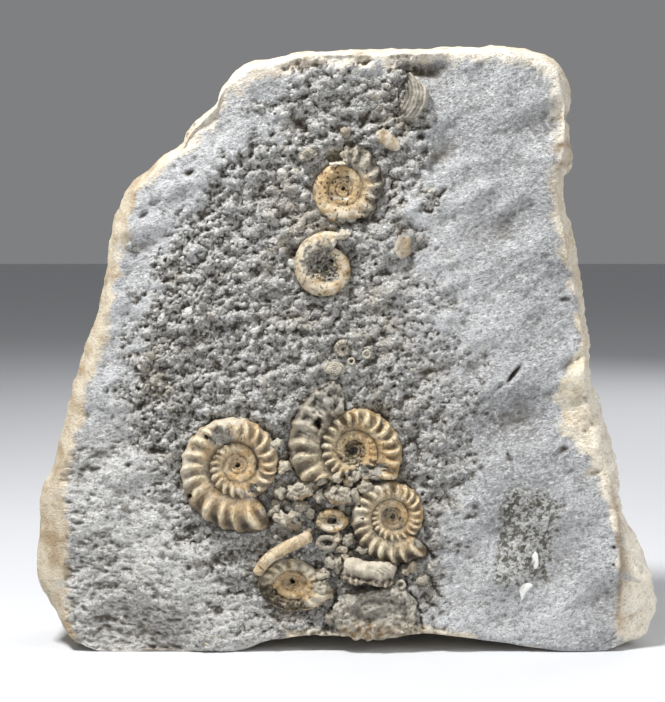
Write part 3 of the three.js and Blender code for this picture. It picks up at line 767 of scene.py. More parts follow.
WHORL_SIZES = [
    "Hub X", "Hub Z", "Middle Y", "Rim", "Aperture", "Growth", "Hand", "Turns", "Ribs", "Rib Height",
    "Half Width", "Squash", "Sweep", "Ribbed Turns", "Steps", "Sides", "Seed", "Roughness",
]


def whorl_tree(material):
    """A coiled shell: a ribbed whorl whose size falls by the growth factor with each turn back."""
    tree, steps, size, outlet = new_geometry_tree("Ribbed whorl", WHORL_SIZES)
    grid = steps.add("GeometryNodeMeshGrid", {"Size X": 1.0, "Size Y": 1.0, "Vertices X": size["Steps"],
                                             "Vertices Y": size["Sides"]})
    place = steps.add("ShaderNodeSeparateXYZ", {"Vector": steps.out("GeometryNodeInputPosition")})
    back = steps.times(steps.minus(0.5, place.outputs[0]), size["Turns"])
    section = steps.times(steps.plus(place.outputs[1], 0.5), TURN)
    turned = steps.times(back, size["Hand"], TURN)
    angle = steps.minus(steps.sum("RADIANS", size["Aperture"]), turned)
    rim = steps.times(size["Rim"], steps.sum("POWER", size["Growth"], steps.times(back, -1.0)))
    out, front = steps.sum("COSINE", section), steps.sum("SINE", section)

    swept = steps.times(out, out, size["Sweep"])
    rounds = steps.times(steps.plus(back, swept), size["Ribs"])
    along = steps.out("ShaderNodeCombineXYZ", {"X": steps.times(rounds, 0.45), "Y": size["Seed"]})
    vary = steps.minus(steps.out("ShaderNodeTexNoise", {"Vector": along, "Scale": 1.0}), 0.5)
    phase = steps.times(steps.plus(rounds, steps.times(vary, 0.9)), TURN)
    crest = steps.plus(0.5, steps.times(steps.sum("COSINE", phase), 0.5))
    past = steps.minus(back, size["Ribbed Turns"])
    strength = steps.times(
        steps.ease(out, -0.85, 0.25),
        steps.ease(out, 0.55, 1.0, 1.0, 0.32),
        steps.ease(past, -0.2, 0.2, 1.0, 0.06),
        steps.plus(0.95, steps.times(vary, 1.8)),
    )
    crest = steps.minus(steps.sum("POWER", crest, 2.2), RIB_MEAN)
    rib = steps.plus(steps.times(crest, strength), RIB_MEAN)
    lift = steps.times(size["Rib Height"], rim, steps.minus(rib, RIB_MEAN))
    flank = steps.times(steps.sum("POWER", steps.sum("ABSOLUTE", front), 0.8), steps.sum("SIGN", front))

    lip = steps.sum("MINIMUM", steps.sum("DIVIDE", back, 0.02), 1.0)
    tip = steps.sum("MINIMUM", steps.sum("DIVIDE", steps.minus(size["Turns"], back), 0.1), 1.0)
    closing = steps.sum("MINIMUM", lip, tip)
    swell = steps.sum("SQRT", steps.times(closing, steps.minus(2.0, closing)))
    tall = steps.times(rim, WHORL_HALF_HEIGHT)
    wide = steps.times(rim, size["Half Width"])
    radial = steps.times(steps.plus(tall, lift), out, swell)
    depth = steps.times(steps.plus(wide, lift), flank, swell)
    radius = steps.plus(steps.minus(rim, tall), radial)
    x = steps.plus(size["Hub X"], steps.times(radius, steps.sum("COSINE", angle)))
    across = steps.times(radius, steps.sum("SINE", angle))
    z = steps.plus(size["Hub Z"], steps.times(across, size["Squash"]))
    y = steps.minus(size["Middle Y"], depth)
    coiled = steps.out("ShaderNodeCombineXYZ", {"X": x, "Y": y, "Z": z})

    shape = grid.outputs["Mesh"]
    for name, value in (("rib", rib), ("outwards", out), ("back", back), ("front", front)):
        shape = steps.store(shape, name, value, "POINT")
    shape = steps.out("GeometryNodeSetPosition", {"Geometry": shape, "Position": coiled})
    shape = steps.out("GeometryNodeMergeByDistance", {"Geometry": shape, "Distance": WELD_GAP})
    for scale, reach in ((260.0, 0.05), (900.0, 0.028), (2400.0, 0.008)):
        inputs = {"Scale": scale, "Detail": 2.0, "W": size["Seed"]}
        spots = steps.out("ShaderNodeTexNoise", inputs, noise_dimensions="4D")
        amount = steps.times(steps.minus(spots, 0.5), reach, size["Rim"], size["Roughness"])
        push = steps.scaled(steps.out("GeometryNodeInputNormal"), amount)
        shape = steps.out("GeometryNodeSetPosition", {"Geometry": shape, "Offset": push})
    close_tree(steps, shape, outlet, material)
    return tree


def grow_coil(name, tree, coil):
    x, z = coil["at"]
    fine = coil["rim"] / 12
    per_turn = coil["ribs"] * STEPS_IN_RIB
    sizes = {
        "Hub X": x * MM, "Hub Z": z * MM, "Middle Y": (FACE_Y + coil["depth"]) * MM, "Rim": coil["rim"] * MM,
        "Aperture": coil["aperture"], "Growth": coil["growth"], "Hand": coil["hand"], "Turns": coil["turns"],
        "Ribs": coil["ribs"], "Rib Height": coil["rib"], "Half Width": coil["wide"], "Squash": coil["squash"],
        "Sweep": coil["sweep"], "Ribbed Turns": coil["ribbed"], "Steps": int(per_turn * coil["turns"]),
        "Sides": int(34 + 14 * min(fine, 1.4)), "Seed": coil["seed"], "Roughness": coil.get("roughness", 1.0),
    }
    return grow(name + "_shell", tree, sizes)


def new_material(name):
    material = bpy.data.materials.new(name)
    material.use_nodes = True
    steps = Steps(material.node_tree)
    shader = material.node_tree.nodes["Principled BSDF"]
    place = steps.add("ShaderNodeTexCoord").outputs["Object"]
    return material, steps, shader, place


def colour(red, green, blue):
    """A linear colour from the values that a picture would show."""
    linear = [((c / 255 + 0.055) / 1.055) ** 2.4 if c > 10 else c / 3294.6 for c in (red, green, blue)]
    return (*linear, 1.0)


def add_bump(steps, shader, layers, strength):
    """Fine relief that is added from several heights, each in millimetres."""
    total = None
    for height, depth in layers:
        part = steps.times(height, depth * MM)
        total = part if total is None else steps.plus(total, part)
    bump = steps.add("ShaderNodeBump", {"Strength": strength, "Distance": 1.0, "Height": total})
    steps.join(bump.outputs[0], shader.inputs["Normal"])


def marl_material():
    """Blue-grey marl: sandy speckle, painted shade tinted brown in its crevices and hollows, cream where the
    flanks have weathered.
    """
    material, steps, shader, place = new_material("marl_weathered")
    broad = steps.noise(place, 0.03, 4.0)
    bedding = steps.out("ShaderNodeMapping", {"Vector": place, "Rotation": (0, math.radians(20), 0)})
    bedding = steps.out("ShaderNodeMapping", {"Vector": bedding, "Scale": (0.7, 1, 1)})
    mottle = steps.noise(bedding, 0.4, 4.0, 0.65)
    speck = steps.noise(bedding, 1.6, 3.0, 0.7)
    dust = steps.noise(bedding, 2.7, 2.0, 0.6)
    base = steps.blend(steps.ease(broad, 0.35, 0.68), colour(154, 155, 156), colour(192, 193, 194))
    base = steps.over(base, steps.ease(mottle, 0.4, 0.72, 0.0, 0.45), 203, 205, 206)
    base = steps.over(base, steps.ease(mottle, 0.5, 0.22, 0.0, 0.35), 140, 139, 135)
    rough = steps.mask("rough")
    base = steps.over(base, steps.times(rough, 0.45), 170, 166, 155)
    base = steps.over(base, steps.times(steps.mask("lower_left"), 0.6), 210, 208, 202)
    # Painted shade on the lower left corner's two facets.
    base = steps.over(base, steps.times(steps.mask("facet"), 0.22), 160, 156, 147)
    base = steps.over(base, steps.ease(speck, 0.53, 0.66, 0.0, 0.7), 226, 226, 224)
    base = steps.over(base, steps.ease(speck, 0.47, 0.32, 0.0, 0.65), 96, 94, 89)
    base = steps.over(base, steps.ease(dust, 0.47, 0.32, 0.0, 0.55), 90, 88, 84)
    base = steps.over(base, steps.ease(steps.mask("tone"), 0.0, 1.0, 0.0, 0.6), 216, 214, 206)
    base = steps.over(base, steps.ease(steps.mask("tone"), 0.0, -1.0, 0.0, 0.6), 110, 101, 86)
    ochre = steps.times(steps.ease(steps.noise(place, 0.09, 4.0, 0.7), 0.5, 0.66), rough)
    base = steps.over(base, steps.times(ochre, 0.4), 164, 148, 118)
    cluster = steps.noise(place, 0.62, 4.0, 0.75)
    base = steps.over(base, steps.times(steps.mask("worn"), 0.3), 204, 202, 192)
    speckled = steps.times(steps.ease(cluster, 0.49, 0.55), steps.mask("worn"))
    base = steps.over(base, steps.times(speckled, 0.9), 84, 82, 70)
    # Painted shade, tinted brown: in the crevices, in the moat around the shells and the rubble between them,
    # and in the broad hollows.
    base = steps.over(base, steps.times(steps.mask("cavity"), 0.8), 92, 84, 70)
    base = steps.over(base, steps.times(steps.mask("moat"), 0.35), 96, 86, 70)
    base = steps.over(base, steps.times(steps.mask("fine_cavity"), 0.64), 72, 66, 56)
    base = steps.over(base, steps.times(steps.mask("hollow"), 0.5), 98, 90, 76)
    streak_place = steps.out("ShaderNodeMapping", {"Vector": place, "Scale": (1, 0.5, 1)})
    streak = steps.noise(streak_place, 0.16, 5.0, 0.65)
    rind = steps.blend(steps.ease(streak, 0.3, 0.66), colour(212, 196, 168), colour(236, 229, 212))
    side, behind, height = steps.add("ShaderNodeSeparateXYZ", {"Vector": place}).outputs
    brow = steps.times(steps.ease(height, 0.1, 0.13, 0.0, 0.5), steps.ease(behind, -0.01, -0.017))
    rind = steps.over(rind, brow, 232, 229, 222)
    crown = steps.times(steps.ease(height, 0.1, 0.13, 0.0, 0.55), steps.ease(behind, -0.017, -0.01))
    rind = steps.over(rind, crown, 192, 180, 158)
    # Lighter towards the right flank: painted light over the rind's own cream.
    rind = steps.over(rind, steps.ease(side, 0.056, 0.064, 0.0, 0.8), 250, 243, 228)
    clouds = steps.noise(place, 0.07, 6.0, 0.75)
    rind = steps.over(rind, steps.ease(clouds, 0.5, 0.72, 0.0, 0.75), 192, 174, 146)
    rind = steps.over(rind, steps.ease(mottle, 0.5, 0.3, 0.0, 0.4), 178, 164, 142)
    rind = steps.over(rind, steps.ease(speck, 0.47, 0.3, 0.0, 0.5), 140, 120, 92)
    rind = steps.over(rind, steps.ease(dust, 0.48, 0.33, 0.0, 0.3), 150, 132, 104)
    stain = steps.noise(place, 0.22, 6.0, 0.8)
    rind = steps.over(rind, steps.ease(stain, 0.56, 0.66, 0.0, 0.55), 150, 128, 98)
    # Painted shade, tinted brown, in the rind's fine crevices.
    rind = steps.over(rind, steps.ease(steps.mask("fine_cavity"), 0.0, 1.0, 0.0, 0.6), 120, 100, 74)
    tan = steps.blend(steps.ease(streak, 0.35, 0.62), colour(158, 136, 106), colour(206, 194, 172))
    rind = steps.blend(steps.ease(side, -0.03, -0.05, 0.0, 0.75), rind, tan)
    base = steps.blend(steps.mask("rind"), base, rind)
    base = steps.over(base, steps.mask("edge_line"), 140, 116, 84)
    steps.join(base, shader.inputs["Base Color"])
    steps.join(steps.ease(mottle, 0.3, 0.7, 0.6, 0.85), shader.inputs["Roughness"])
    shader.inputs["Specular IOR Level"].default_value = 0.3
    add_bump(steps, shader, [(mottle, 0.4), (speck, 0.42), (dust, 0.24)], 0.9)
    return material


def shell_material(name, *tones):
    """Shell calcite: banded from honey to cream, with a painted highlight on the rib crests, painted shade
    between the ribs, and darker where grime is held.
    """
    material, steps, shader, place = new_material(name)
    deep, middle, light, grime_and_shade = (colour(*tone) for tone in tones)
    cloud = steps.noise(place, 0.13, 4.0, 0.6)
    grain = steps.noise(place, 1.3, 4.0, 0.7)
    fine = steps.noise(place, 4.5, 2.0, 0.6)
    warmth = steps.plus(steps.mask("warm"), steps.times(steps.minus(cloud, 0.5), 1.4))
    base = steps.blend(steps.ease(warmth, 0.1, 0.95), middle, deep)
    base = steps.blend(steps.ease(steps.noise(place, 0.22, 3.0), 0.52, 0.7, 0.0, 0.6), base, light)
    rib = steps.mask("rib")
    # Painted highlight on the rib crests, then painted shade between the ribs.
    base = steps.blend(steps.ease(rib, 0.4, 0.9, 0.0, 0.65), base, light)
    base = steps.blend(steps.ease(rib, 0.31, 0.0, 0.0, 0.75), base, grime_and_shade)
    base = steps.blend(steps.ease(grain, 0.48, 0.34, 0.0, 0.85), base, grime_and_shade)
    base = steps.blend(steps.ease(grain, 0.55, 0.7, 0.0, 0.7), base, light)
    base = steps.blend(steps.ease(fine, 0.42, 0.28, 0.0, 0.5), base, grime_and_shade)
    pale = steps.mask("pale")
    chalk = steps.blend(steps.ease(pale, 0.85, 1.0), colour(214, 204, 184), colour(240, 238, 232))
    base = steps.blend(pale, base, chalk)
    speckle = steps.plus(steps.times(fine, 0.5), steps.times(grain, 0.5))
    bare = steps.blend(steps.ease(speckle, 0.36, 0.62), colour(118, 113, 102), colour(188, 184, 172))
    base = steps.blend(steps.mask("bare"), base, bare)
    # The dark values hold both the shell's own dark colour and painted shade.
    base = steps.over(base, steps.mask("dark"), 52, 42, 32)
    steps.join(base, shader.inputs["Base Color"])
    steps.join(steps.ease(grain, 0.3, 0.7, 0.42, 0.67), shader.inputs["Roughness"])
    shader.inputs["Specular IOR Level"].default_value = 0.45
    add_bump(steps, shader, [(grain, 0.35), (fine, 0.14)], 0.8)
    return material


def shell_values(piece, **values):
    """Every shell carries the values that the shell paint reads, 0 where it has none of its own."""
    mesh = piece.data
    count = len(mesh.vertices)
    for name in ("rib", "warm", "pale", "bare", "dark"):
        if name in values:
            set_values(mesh, name, np.clip(values[name], 0, 1))
        elif name not in mesh.attributes:
            set_values(mesh, name, np.full(count, 0.5 if name == "rib" else 0.0))


def jagged(places, seed, spots):
    """A mask with ragged edges around leaning spots: x, z, radius along, radius across, lean."""
    x, z = places[:, 0], places[:, 2]
    flat = places * np.array([1, 0, 1])
    ragged_edge = noises(flat, (seed, 2.4, 0.16), (seed + 1, 0.9, 0.1))
    mask = np.zeros(len(places))
    for sx, sz, long_radius, short_radius, lean in spots:
        along, across = leaning(x - sx, z - sz, lean)
        reach = np.hypot(along / long_radius, across / short_radius) + ragged_edge
        mask = np.maximum(mask, smooth_step(-reach, -1.05, -0.92))
    return mask


# The viewpoint: focal length in mm on a 36 mm sensor, degrees above level and metres from the face.
LENS = 96.2
CAMERA_RISE = 4
CAMERA_DISTANCE = 0.45
FLOOR_REACH = 4000


def studio():
    """The photograph's viewing angle, a soft light from above and a little to the left, and a pale floor."""
    camera_data = bpy.data.cameras.new("viewpoint")
    camera_data.sensor_width = 36
    camera_data.lens = LENS
    camera_data.clip_start = 0.01
    camera = bpy.data.objects.new("viewpoint", camera_data)
    target = Vector((-3.2, FACE_Y, 73.4)) * MM
    rise = math.radians(CAMERA_RISE)
    camera.location = target + Vector((0, -math.cos(rise), math.sin(rise))) * CAMERA_DISTANCE
    camera.rotation_euler = (target - camera.location).to_track_quat("-Z", "Y").to_euler()
    bpy.context.collection.objects.link(camera)
    bpy.context.scene.camera = camera
    for name, place, size, power in (
        ("top_light", (-0.2, -0.2, 0.58), 0.12, 5.3),
        ("front_light", (-0.1, -0.7, 0.3), 0.7, 0.5),
        ("side_light", (0.5, -0.3, 0.35), 0.3, 1.1),
        ("back_light", (0.3, 0.6, 0.5), 0.6, 2.2),
    ):
        data = bpy.data.lights.new(name, "AREA")
        data.shape = "DISK"
        data.size = size
        data.energy = power
        light = bpy.data.objects.new(name, data)
        light.location = place
        light.rotation_euler = (Vector((0, -0.01, 0.07)) - light.location).to_track_quat("-Z", "Y").to_euler()
        bpy.context.collection.objects.link(light)
    world = bpy.data.worlds.new("pale_room")
    world.use_nodes = True
    world.node_tree.nodes["Background"].inputs[0].default_value = (0.97, 0.98, 1.0, 1)
    world.node_tree.nodes["Background"].inputs[1].default_value = 0.22
    bpy.context.scene.world = world
    bpy.context.scene.view_settings.view_transform = "Standard"
    corners = [(FLOOR_REACH * x, FLOOR_REACH * y, 0) for x, y in ((-1, -1), (1, -1), (1, 1), (-1, 1))]
    floor = new_mesh_object("pale_floor", corners, [(0, 1, 2, 3)])
    material, _, shader, _ = new_material("pale_floor_finish")
    shader.inputs["Base Color"].default_value = (0.62, 0.63, 0.65, 1)
    shader.inputs["Roughness"].default_value = 0.9
    floor.data.materials.append(material)


def keep(piece, material, slot, *nodes):
    """Gives a finished piece its material, attaches it to the root body and hides the model's nodes that it
    stands for.
    """
    piece.data.materials.clear()
    piece.data.materials.append(material)
    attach(piece, "root")
    if nodes:
        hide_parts(*nodes)


# Broken and worn places of the coils as spots [x, z, radius along, radius across, lean].
BARE_SPOTS = {
    "ammonite_left": [(-29.8, 52.8, 3.3, 2.5, 0), (-18.6, 34.6, 1.6, 2.6, 35), (-22.2, 40.3, 1.6, 1.0, 30)],
    "ammonite_centre": [(-4.3, 62.6, 4.6, 3.4, 15), (5.0, 44.4, 5.0, 1.4, 10)],
    "ammonite_right": [(17.9, 27.0, 1.8, 1.2, -20)],
    "ammonite_lower": [(-2.9, 19.4, 1.6, 1.2, 20), (-18.6, 13.2, 2.4, 3.4, 60)],
    "ammonite_top": [(1.0, 103.6, 5.4, 1.6, 5), (8.2, 111.0, 1.4, 2.0, 0)],
    "ammonite_upper": [(-6.4, 94.9, 3.9, 4.2, 30), (-3.6, 91.6, 2.0, 1.7, 0)],
}
# Places where the shell is gone down to the rock, in the same form.
MISSING_SPOTS = {
    "ammonite_top": [(2.6, 102.6, 4.6, 1.9, 8)],
    "ammonite_lower": [(-4.0, 22.4, 1.6, 1.2, 0)],
    "ammonite_left": [(-19.0, 36.8, 1.2, 0.6, 60)],
}
# Holes that go right into a shell, as [x, z, radius].
HOLES = {
    "ammonite_left": [(-33.5, 52.7, 0.5), (-37.5, 38.4, 0.75), (-26.1, 45.9, 0.45)],
    "ammonite_centre": [(-6.9, 56.0, 0.95), (-6.3, 56.9, 0.8), (-6.5, 55.3, 0.7)],
    "ammonite_right": [(11.2, 33.0, 0.4), (3.4, 35.8, 0.4), (4.2, 32.9, 0.35)],
    "ammonite_lower": [(-13.2, 17.6, 0.35)],
    "ammonite_small": [(-3.6, 32.3, 0.42)],
    "ammonite_upper": [(-6.3, 86.9, 0.3), (-3.4, 95.0, 0.5)],
}
# Whorl parts whose shell has turned pale, in the same form as the bare spots.
PALE_SPOTS = {
    "ammonite_left": [(-29.0, 57.8, 6.0, 2.6, 0), (-39.2, 46.5, 2.2, 7.5, 0), (-24.6, 38.9, 4.0, 0.7, -25)],
    "ammonite_centre": [(-9.0, 58.4, 3.0, 4.6, -30), (14.0, 55.0, 4.0, 1.0, 60), (-3.4, 66.6, 4.8, 1.2, 15)],
    "ammonite_right": [(2.6, 34.6, 1.6, 3.4, 0), (8.0, 40.8, 3.0, 1.2, 20)],
    "ammonite_lower": [(-6.8, 21.0, 5.6, 3.2, -20), (-15.5, 23.0, 4.0, 1.2, 30), (-7.6, 12.6, 3.4, 1.0, 20)],
    "ammonite_top": [(-1.0, 106.2, 4.4, 0.9, 8), (-1.2, 110.0, 2.0, 0.6, 0)],
    "ammonite_upper": [(-1.2, 100.4, 3.0, 1.1, 20), (-9.6, 97.6, 2.2, 1.0, 50)],
    "ammonite_small": [(-2.2, 31.8, 1.6, 1.2, 0), (-4.6, 30.6, 2.2, 0.9, 20)],
}


def spot_distance(places, spot_x, spot_z):
    """Distance from a place on the face, as seen from in front."""
    return np.hypot(places[:, 0] - spot_x, places[:, 2] - spot_z)


def weather_coil(piece, name, coil):
    """Breaks, holes and faded places of a coil, painted shade in its seams, rib grooves and holes, and the
    values that its paint reads.
    """
    mesh = piece.data
    places = vertex_places(mesh)
    out, back, front, rib = (get_values(mesh, n) for n in ("outwards", "back", "front", "rib"))
    x, z = coil["at"]
    dx, dz = places[:, 0] - x, places[:, 2] - z
    direction = np.degrees(np.arctan2(dz, dx))
    facing = smooth_step(front, -0.1, 0.3)

    def blotches(shift, wave):
        return flank_noise(places, coil["seed"] + shift, wave)

    base, gain, toward = coil["warm"]
    swing = 0.5 + 0.5 * np.cos(np.radians(direction - toward))
    warm = base + gain * swing + 0.12 * blotches(0, 5)
    strength, toward = coil["dark"]
    lobe = smooth_step(0.5 + 0.5 * np.cos(np.radians(direction - toward)), 0.5, 1.0)
    dark = strength * lobe * smooth_step(out, 0.1, 0.8) * (back < 1) * (0.35 + 0.65 * (1 - rib))
    # Painted shade in the seam where each whorl meets the one inside it and on its inner side, in the grooves
    # between the ribs, and as a line along the outer edge.
    early = (1 - 0.65 * smooth_step(back, 0.9, 1.4)) * coil.get("seam", 1.0)
    dark += 0.6 * early * smooth_step(-out, 0.6, 0.97) + 0.3 * smooth_step(0.25 - rib, 0.0, 0.25) * facing
    disc, disc_strength = coil.get("disc", (1.5, 0.2))
    dark += 0.3 * early * smooth_step(-out, 0.2, 0.8) * facing * (back < 1.2)
    dark += 0.28 * smooth_step(blotches(33, 3.2), 0.5, 1.6) * facing
    rim_line = 0.25 * smooth_step(out, 0.8, 1.0) * facing
    dark += disc_strength * smooth_step(back, disc - 0.1, disc + 0.1) + rim_line
    warm += 0.15 * smooth_step(back, 1.0, 1.3) * (1 - smooth_step(back, 1.6, 2.0))
    warm += coil.get("inner_warm", 0.0) * smooth_step(back, 0.85, 1.05)
    streak = np.cos(TURN * back * coil["ribs"] * 2.7 + 2 * blotches(31, 3))
    warm += 0.12 * streak * facing
    bare = jagged(places, coil["seed"], BARE_SPOTS.get(name, [])) * facing
    pale = jagged(places, coil["seed"] + 5, PALE_SPOTS.get(name, [])) * 0.8
    pale = np.maximum(pale, coil.get("faded", 0.0) * (1 + 0.5 * blotches(35, 2.5)))
    torn = 4 * bare * (1 - bare) * facing
    pale = np.maximum(pale, 0.9 * torn)
    dark += 0.3 * smooth_step(bare, 0.5, 0.7) * (1 - smooth_step(bare, 0.8, 1.0))
    dark += coil.get("pitted", 0.25) * smooth_step(blotches(20, 0.9), 1.0, 1.6)
    sunk = 0.04 * coil["rim"] * bare * (1 - 0.5 * rib) - 0.012 * coil["rim"] * torn
    sunk += bare * 0.16 * blotches(8, 2.6) * min(1, coil["rim"] / 9)
    grit = 0.12 * blotches(9, 1.3) + 0.1 * blotches(10, 0.7)
    sunk += bare * grit * min(1, coil["rim"] / 9)
    missing = jagged(places, coil["seed"] + 7, MISSING_SPOTS.get(name, []))
    sunk += 2.6 * missing * facing
    dark += 0.55 * missing
    for hole_x, hole_z, radius in HOLES.get(name, []):
        distance = spot_distance(places, hole_x, hole_z) + 0.08 * flank_noise(places, 77, 0.8)
        deep = 1 - smooth_step(distance, radius * 0.55, radius)
        sunk += 2.2 * radius * deep * facing
        # Painted shade inside each hole.
        dark = np.maximum(dark, deep)
    if "buried_below" in coil:
        below = coil["buried_below"] - places[:, 2] + 0.7 * flank_noise(places, 78, 4)
        sunk += 5.0 * smooth_step(below, -0.4, 1.2) * facing
    if "grey_whorl" in coil:
        start, end = coil["grey_whorl"]
        fan = smooth_step(direction, start, start + 12) * (1 - smooth_step(direction, end - 12, end))
        outer = smooth_step(out + 0.3 * flank_noise(places, 79, 3), -0.3, 0.5)
        reach = np.maximum(outer, smooth_step(direction, 15, 45))
        grey = fan * (1 - smooth_step(back, 0.42, 0.5)) * reach
        bare = np.maximum(bare, 0.7 * grey)
        warm *= 1 - 0.8 * grey
        sunk += grey * smooth_step(out, 0.1, 1.0) * (0.7 + 0.4 * flank_noise(places, 80, 2.2))
    if "granular" in coil:
        start, height = coil["granular"]
        lumps = flank_noise(places, 84, 1.5) + 0.6 * flank_noise(places, 85, 0.8)
        inner = smooth_step(back, start, start + 0.2) * facing
        sunk += inner * (0.4 + height * 0.5 * lumps)
        dark += 0.25 * inner * smooth_step(lumps, 0.0, 1.4)
        pale = np.maximum(pale, 0.35 * inner * smooth_step(-lumps, 0.4, 1.6))
    if "end" in coil:
        length, drop = coil["end"]
        fade = 1 - smooth_step(back + 0.02 * flank_noise(places, 81, 3), 0.0, length)
        crumble = noises(places, (82, 3.0, 0.55), (83, 1.1, 0.3))
        sunk += fade * facing * (drop * fade + crumble * min(1, length / 0.2))
        bare = np.maximum(bare, 0.75 * fade)
        pale = np.maximum(pale, 0.75 * fade * smooth_step(-crumble, 0.15, 0.7))
        dark += 0.35 * fade * smooth_step(crumble, 0.3, 0.9)
    places[:, 1] += sunk
    set_places(mesh, places)
    shell_values(piece, rib=rib, warm=warm, pale=pale, dark=dark, bare=np.maximum(bare, coil.get("bare", 0)))


def break_lower_coil(piece, coil):
    """The lower left of the lowest coil is broken out to a gritty crescent inside a thin rim line."""
    mesh = piece.data
    places = vertex_places(mesh)
    front, out, back = (get_values(mesh, n) for n in ("front", "outwards", "back"))
    x, z = coil["at"]
    angle = np.degrees(np.arctan2((places[:, 2] - z) / coil["squash"], places[:, 0] - x)) % 360
    broken = smooth_step(angle, 172, 190) * (1 - smooth_step(angle, 285, 305)) * (back < 0.72)
    inside = broken * smooth_step(0.93 - out, 0.0, 0.12) * smooth_step(front, -0.2, 0.2)
    grit = noises(places, (121, 1.2, 0.18), (122, 0.6, 0.12))
    places[:, 1] += inside * (1.3 + 1.7 * grit)
    set_places(mesh, places)
    set_values(mesh, "dark", np.maximum(get_values(mesh, "dark"), inside * 0.55))
    set_values(mesh, "bare", get_values(mesh, "bare") * (1 - inside) + inside * 0.3)
    set_values(mesh, "warm", np.maximum(get_values(mesh, "warm"), inside * 0.6))
    set_values(mesh, "pale", np.maximum(get_values(mesh, "pale"), broken * smooth_step(out, 0.9, 1.0) * 0.6))


def blob(name, at, half, lean, seed, bumps=(), flat=1.0, level=5):
    """A rounded body whose surface is roughened along its own normals, set on the face."""
    work = bmesh.new()
    bmesh.ops.create_icosphere(work, subdivisions=level, radius=1.0)
    mesh = bpy.data.meshes.new(name)
    work.to_mesh(mesh)
    work.free()
    piece = bpy.data.objects.new(name, mesh)
    bpy.context.collection.objects.link(piece)
    unit = vertex_places(mesh) * MM
    power = np.sign(unit) * np.abs(unit) ** flat
    body = power * np.array(half)
    for wave, height in bumps:
        body += unit * (height * flank_noise(body + seed * 7.3, seed, wave))[:, None]
    turn = math.radians(lean)
    placed = np.empty_like(body)
    placed[:, 0] = at[0] + body[:, 0] * math.cos(turn) - body[:, 2] * math.sin(turn)
    placed[:, 2] = at[2] + body[:, 0] * math.sin(turn) + body[:, 2] * math.cos(turn)
    placed[:, 1] = FACE_Y + at[1] + body[:, 1]
    set_places(mesh, placed)
    return piece, unit, body


def finish_blob(piece, move=None, **values):
    """Moves the surface along the view depth where asked, and stores the paint's values."""
    if move is not None:
        places = vertex_places(piece.data)
        places[:, 1] += move
        set_places(piece.data, places)
    finish_mesh(piece)
    shell_values(piece, **values)
    return piece


def front_of(unit):
    return smooth_step(-unit[:, 1], 0.0, 0.4)


def bivalve():
    """A valve on its side, with growth lines that follow its right edge."""
    piece, unit, body = blob("bivalve_valve", (15.6, 0.6, 134.2), (3.6, 2.2, 5.4), -8, 201, ((3.0, 0.12),))
    lines = np.hypot((body[:, 0] + 3.4) / 1.0, body[:, 2] / 2.1)
    ridge = np.cos(lines * TURN / 0.85 + 0.5 * flank_noise(body, 203, 3))
    scoop = np.exp(-(((body[:, 0] + 2.6) / 1.6) ** 2 + ((body[:, 2] - 0.6) / 2.2) ** 2))
    rim = bell(lines - 6.1, 0.35)
    crack = noises(body, (204, 1.4, 0.12), (206, 0.7, 0.1))
    places = vertex_places(piece.data)
    pinch = 0.5 * smooth_step(unit[:, 2], 0.3, 1.0) * (places[:, 0] - 15.6)
    places[:, 0] += 1.6 * (unit[:, 2] ** 2 - 0.4) * -0.8 - pinch
    set_places(piece.data, places)
    left = smooth_step(-unit[:, 0] - 0.15 * unit[:, 2], -0.15, 0.35)
    move = (-0.08 * ridge + 1.3 * scoop - 0.3 * rim + crack * (0.4 + scoop) + 1.5 * left) * front_of(unit)
    # Painted shade in the scooped hollow, on the sunken left part and between the growth lines.
    dark = 0.45 * scoop + 0.3 * left + 0.2 * (1 - ridge) * (1 - rim)
    return finish_blob(piece, move, rib=0.5 + 0.35 * ridge, pale=0.1 + 0.85 * rim, dark=dark,
                       bare=0.7 + 0.2 * scoop - 0.5 * rim)


def flat_shell():
    piece, unit, body = blob("peach_flat_shell", (10.1, 1.5, 123.7), (3.4, 0.9, 1.7), -36, 205,
                             ((2.6, 0.05), (0.8, 0.02)), 0.85)
    crest = np.cos(body[:, 0] * 2.1 + 0.7 * body[:, 2])
    pale = 0.3 * smooth_step(unit[:, 0], -0.2, 1.0)
    return finish_blob(piece, -0.05 * crest * front_of(unit), rib=0.5 + 0.3 * crest, pale=pale,
                       warm=0.5 - 0.2 * unit[:, 0], bare=0.25 * smooth_step(-unit[:, 0], 0, 1))


def shell_flake():
    """A thin five-sided flake that lies almost flush in the smooth side."""
    piece, unit, _ = blob("thin_shell_flake", (13.7, 0.2, 98.4), (2.3, 0.6, 3.0), -12, 209,
                          ((1.6, 0.03),), 0.6)
    corners = np.arctan2(unit[:, 2], unit[:, 0])
    shrink = np.cos(TURN / 10) / np.cos((corners + 0.3) % (TURN / 5) - TURN / 10)
    places = vertex_places(piece.data)
    for axis, middle in ((0, 13.7), (2, 98.4)):
        places[:, axis] = middle + (places[:, axis] - middle) * shrink
    set_places(piece.data, places)
    return finish_blob(piece, None, rib=0.5 - 0.2 * unit[:, 0], warm=0.5 + 0.2 * unit[:, 0],
                       pale=0.7 * smooth_step(-unit[:, 0] - unit[:, 2], 0.3, 1.0),
                       bare=np.full(len(unit), 0.2),
                       dark=0.14 + 0.3 * smooth_step(unit[:, 0], 0.5, 1.0))


def oval_shell():
    piece, unit, body = blob("low_oval_shell", (-2.8, 0.9, 69.1), (2.8, 1.1, 1.7), -5, 213,
                             ((1.6, 0.09), (0.7, 0.05)))
    lines = np.hypot(body[:, 0], body[:, 2] * 1.6)
    ridge = np.cos(lines * TURN / 0.8)
    return finish_blob(piece, -0.07 * ridge * front_of(unit), rib=0.5 + 0.35 * ridge, warm=0.2 + 0 * ridge,
                       bare=0.45 + 0 * ridge)


